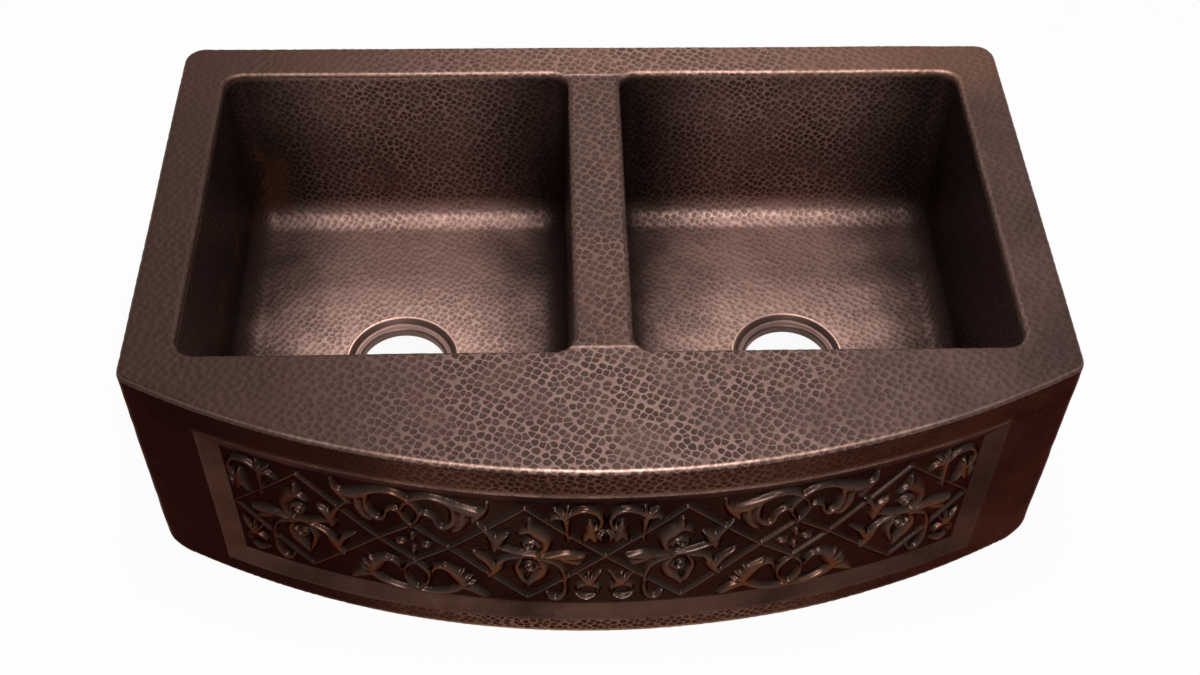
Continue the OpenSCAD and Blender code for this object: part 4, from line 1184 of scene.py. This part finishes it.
for legs in bars:
    for a, b in zip(legs, legs[1:]):
        for p in copies([[*a, bar_half], [*b, bar_half]]):
            raise_stroke(p, 3.0)
for group in (upper_scroll, lower_scroll, palmette, side_scrolls):
    for stroke in group:
        for p in copies(smooth_path(stroke)):
            raise_stroke(p, 4.6, vein=True)


def blur(field, passes):
    """Softens a grid of heights."""
    for _ in range(passes):
        field = np.pad(field, 1, mode="edge")
        field = (field[:-2] + 2 * field[1:-1] + field[2:]) / 4
        field = (field[:, :-2] + 2 * field[:, 1:-1] + field[:, 2:]) / 4
    return field


soft = blur(relief, 1)
wear_and_highlight = rub_and_highlight * np.clip(soft / 2.5, 0, 1) + np.clip(soft - 3.8, 0, 1) * 0.5
height = soft - frame_depth(flat_u, flat_z)
print("relief up to", round(float(soft.max()), 2), "mm on", flat_u.size, "points")

# %% [markdown]
# The front is a fine grid, and the back is a coarse one 2 mm behind. Strips of triangles sew them together
# along the four sides, so the panel is closed without doubling its points. Solidify would close it too, but
# it would repeat the fine grid on a back that shows nothing.

# %% Close and bend the panel
rows, columns = flat_u.shape
face = np.stack([flat_u, flat_z, height], -1).reshape(-1, 3)
back_i = np.unique(np.append(np.arange(0, columns, 8), columns - 1))
back_j = np.unique(np.append(np.arange(0, rows, 8), rows - 1))
back = np.stack(np.meshgrid(grid_u[back_i], grid_z[back_j]), -1)
back = np.concatenate([back, np.full(back.shape[:2] + (1,), -recess - sheet)], -1).reshape(-1, 3)
tris = [grid_tris(rows, columns), grid_tris(len(back_j), len(back_i))[:, ::-1] + len(face)]


def sew_side(fine, coarse, marks):
    """Triangles between a fine edge and a coarse one; marks are the fine places of the coarse points."""
    out = []
    for k in range(len(coarse) - 1):
        half = (marks[k] + marks[k + 1]) // 2
        out += [(fine[m], coarse[k], fine[m + 1]) for m in range(marks[k], half)]
        out.append((coarse[k], coarse[k + 1], fine[half]))
        out += [(fine[m], coarse[k + 1], fine[m + 1]) for m in range(half, marks[k + 1])]
    return np.array(out)


nb = len(back_i)
last = (rows - 1) * columns
across, up = np.arange(columns), np.arange(rows) * columns
back_across, back_up = len(face) + np.arange(nb), len(face) + np.arange(len(back_j)) * nb
tris.append(sew_side(across, back_across, back_i))
tris.append(sew_side(last + across, back_across + (len(back_j) - 1) * nb, back_i)[:, ::-1])
tris.append(sew_side(up, back_up, back_j)[:, ::-1])
tris.append(sew_side(up + columns - 1, back_up + nb - 1, back_j))
points = np.concatenate([face, back])
struck = np.concatenate([np.clip(1 - soft.ravel() / 1.5, 0, 1), np.zeros(len(back))])
piece = new_mesh("apron_panel_relief", points, np.concatenate(tris), points[:, :2],
                 np.concatenate([wear_and_highlight.ravel(), np.zeros(len(back))]), struck)
tidy_mesh(piece)
work(piece, finishes["panel"], (5.0, 9.0), depth=0.00025, bent=True, thick=None)
stands_for(piece, "apron_panel")

# %% [markdown]
# ## Floor, light and camera
# The floor and the background are white to the camera and to shiny metal, as in a catalogue picture, but
# the floor keeps some of the sink's shadow. Four soft lamps light the sink: one behind it and one above it
# shine on the flat sheet and the bowls' floors, one over the camera draws the bright lines on the nose, the
# far rims and the rounded foot of the bowls, and a low one in front draws the upper sides of the leaves and
# the lower slope of the frame.

# %% Stage and lights
def white_to_camera(tree, strength):
    """A share that is strength for the camera and for glossy and clear surfaces, and 0 for other light."""
    path = add(tree, "ShaderNodeLightPath")
    seen = (path["Is Camera Ray"] + path["Is Glossy Ray"] + path["Is Transmission Ray"]).do("MINIMUM", 1.0)
    return seen * strength


floor_mesh = bpy.data.meshes.new("floor")
floor_z = -0.2525
floor_mesh.from_pydata([(-6, -6, floor_z), (6, -6, floor_z), (6, 8, floor_z), (-6, 8, floor_z)], [],
                       [(0, 1, 2, 3)])
floor = bpy.data.objects.new("floor", floor_mesh)
scene.collection.objects.link(floor)
floor_paint = bpy.data.materials.new("floor_paint")
floor_paint.use_nodes = True
tree = floor_paint.node_tree
tree.nodes.clear()
share = white_to_camera(tree, 0.93)
matt = add(tree, "ShaderNodeBsdfDiffuse", None, {"Color": (0.8, 0.8, 0.8, 1)})[0]
glow = add(tree, "ShaderNodeEmission", None, {"Color": (1, 1, 1, 1), "Strength": 1.0})[0]
both = add(tree, "ShaderNodeMixShader", None, {0: share, 1: matt, 2: glow})[0]
add(tree, "ShaderNodeOutputMaterial", None, {"Surface": both})
floor_mesh.materials.append(floor_paint)

world = bpy.data.worlds.new("studio")
scene.world = world
world.use_nodes = True
tree = world.node_tree
tree.nodes.clear()
share = white_to_camera(tree, 1.0)
dim = add(tree, "ShaderNodeBackground", None, {"Color": (1, 1, 1, 1), "Strength": 0.25})[0]
bright = add(tree, "ShaderNodeBackground", None, {"Color": (1, 1, 1, 1), "Strength": 1.0})[0]
both = add(tree, "ShaderNodeMixShader", None, {0: share, 1: dim, 2: bright})[0]
add(tree, "ShaderNodeOutputWorld", None, {"Surface": both})


def soft_light(name, place, target, size, power):
    """A round lamp that shines from place to target, in metres and watts."""
    lamp = bpy.data.lights.new(name, "AREA")
    lamp.shape, lamp.size, lamp.energy = "DISK", size, power
    holder = bpy.data.objects.new(name, lamp)
    scene.collection.objects.link(holder)
    holder.location = place
    holder.rotation_euler = (Vector(target) - Vector(place)).to_track_quat("-Z", "Y").to_euler()


soft_light("back", (-0.05, 1.25, 1.55), (0, 0, -0.1), 0.7, 13)
soft_light("top", (0.05, 0.15, 1.9), (0, 0, -0.1), 0.8, 14)
soft_light("front", (0.15, -1.35, 1.45), (0, -0.1, -0.1), 0.35, 22)
soft_light("low", (-0.3, -2.2, 0.45), (0, -0.2, -0.15), 0.4, 26)
print("lamps:", sorted(lamp.name for lamp in bpy.data.lights))

# %% [markdown]
# The camera was found by fitting a pinhole view to the deck's outline, the openings, the drains and the bow
# in the photograph: 49 degrees down, nearly straight on, with a slight roll. It could be placed by eye, but
# only a fitted one lets every edge be compared.

# %% Camera
yaw, pitch, roll = 0.047266, 0.861044, 0.025372
eye = (-0.04564, -1.02566, 1.04843)
focal_pixels, photo_width, sensor = 1575.31, 1200, 36.0
forward = Vector((math.sin(yaw) * math.cos(pitch), math.cos(yaw) * math.cos(pitch), -math.sin(pitch)))
right = Vector((math.cos(yaw), -math.sin(yaw), 0))
upward = right.cross(forward)
side = right * math.cos(roll) + upward * math.sin(roll)
head = upward * math.cos(roll) - right * math.sin(roll)
lens = bpy.data.cameras.new("camera")
lens.sensor_width, lens.lens = sensor, sensor * focal_pixels / photo_width
camera = bpy.data.objects.new("camera", lens)
scene.collection.objects.link(camera)
turned = Matrix((side, head, -forward)).transposed().to_4x4()
camera.matrix_world = Matrix.Translation(eye) @ turned
scene.camera = camera
scene.view_settings.view_transform = "Standard"
print("camera:", round(math.degrees(pitch)), "degrees down, lens", round(lens.lens, 1), "mm")

# %% Update the scene
bpy.context.view_layer.update()
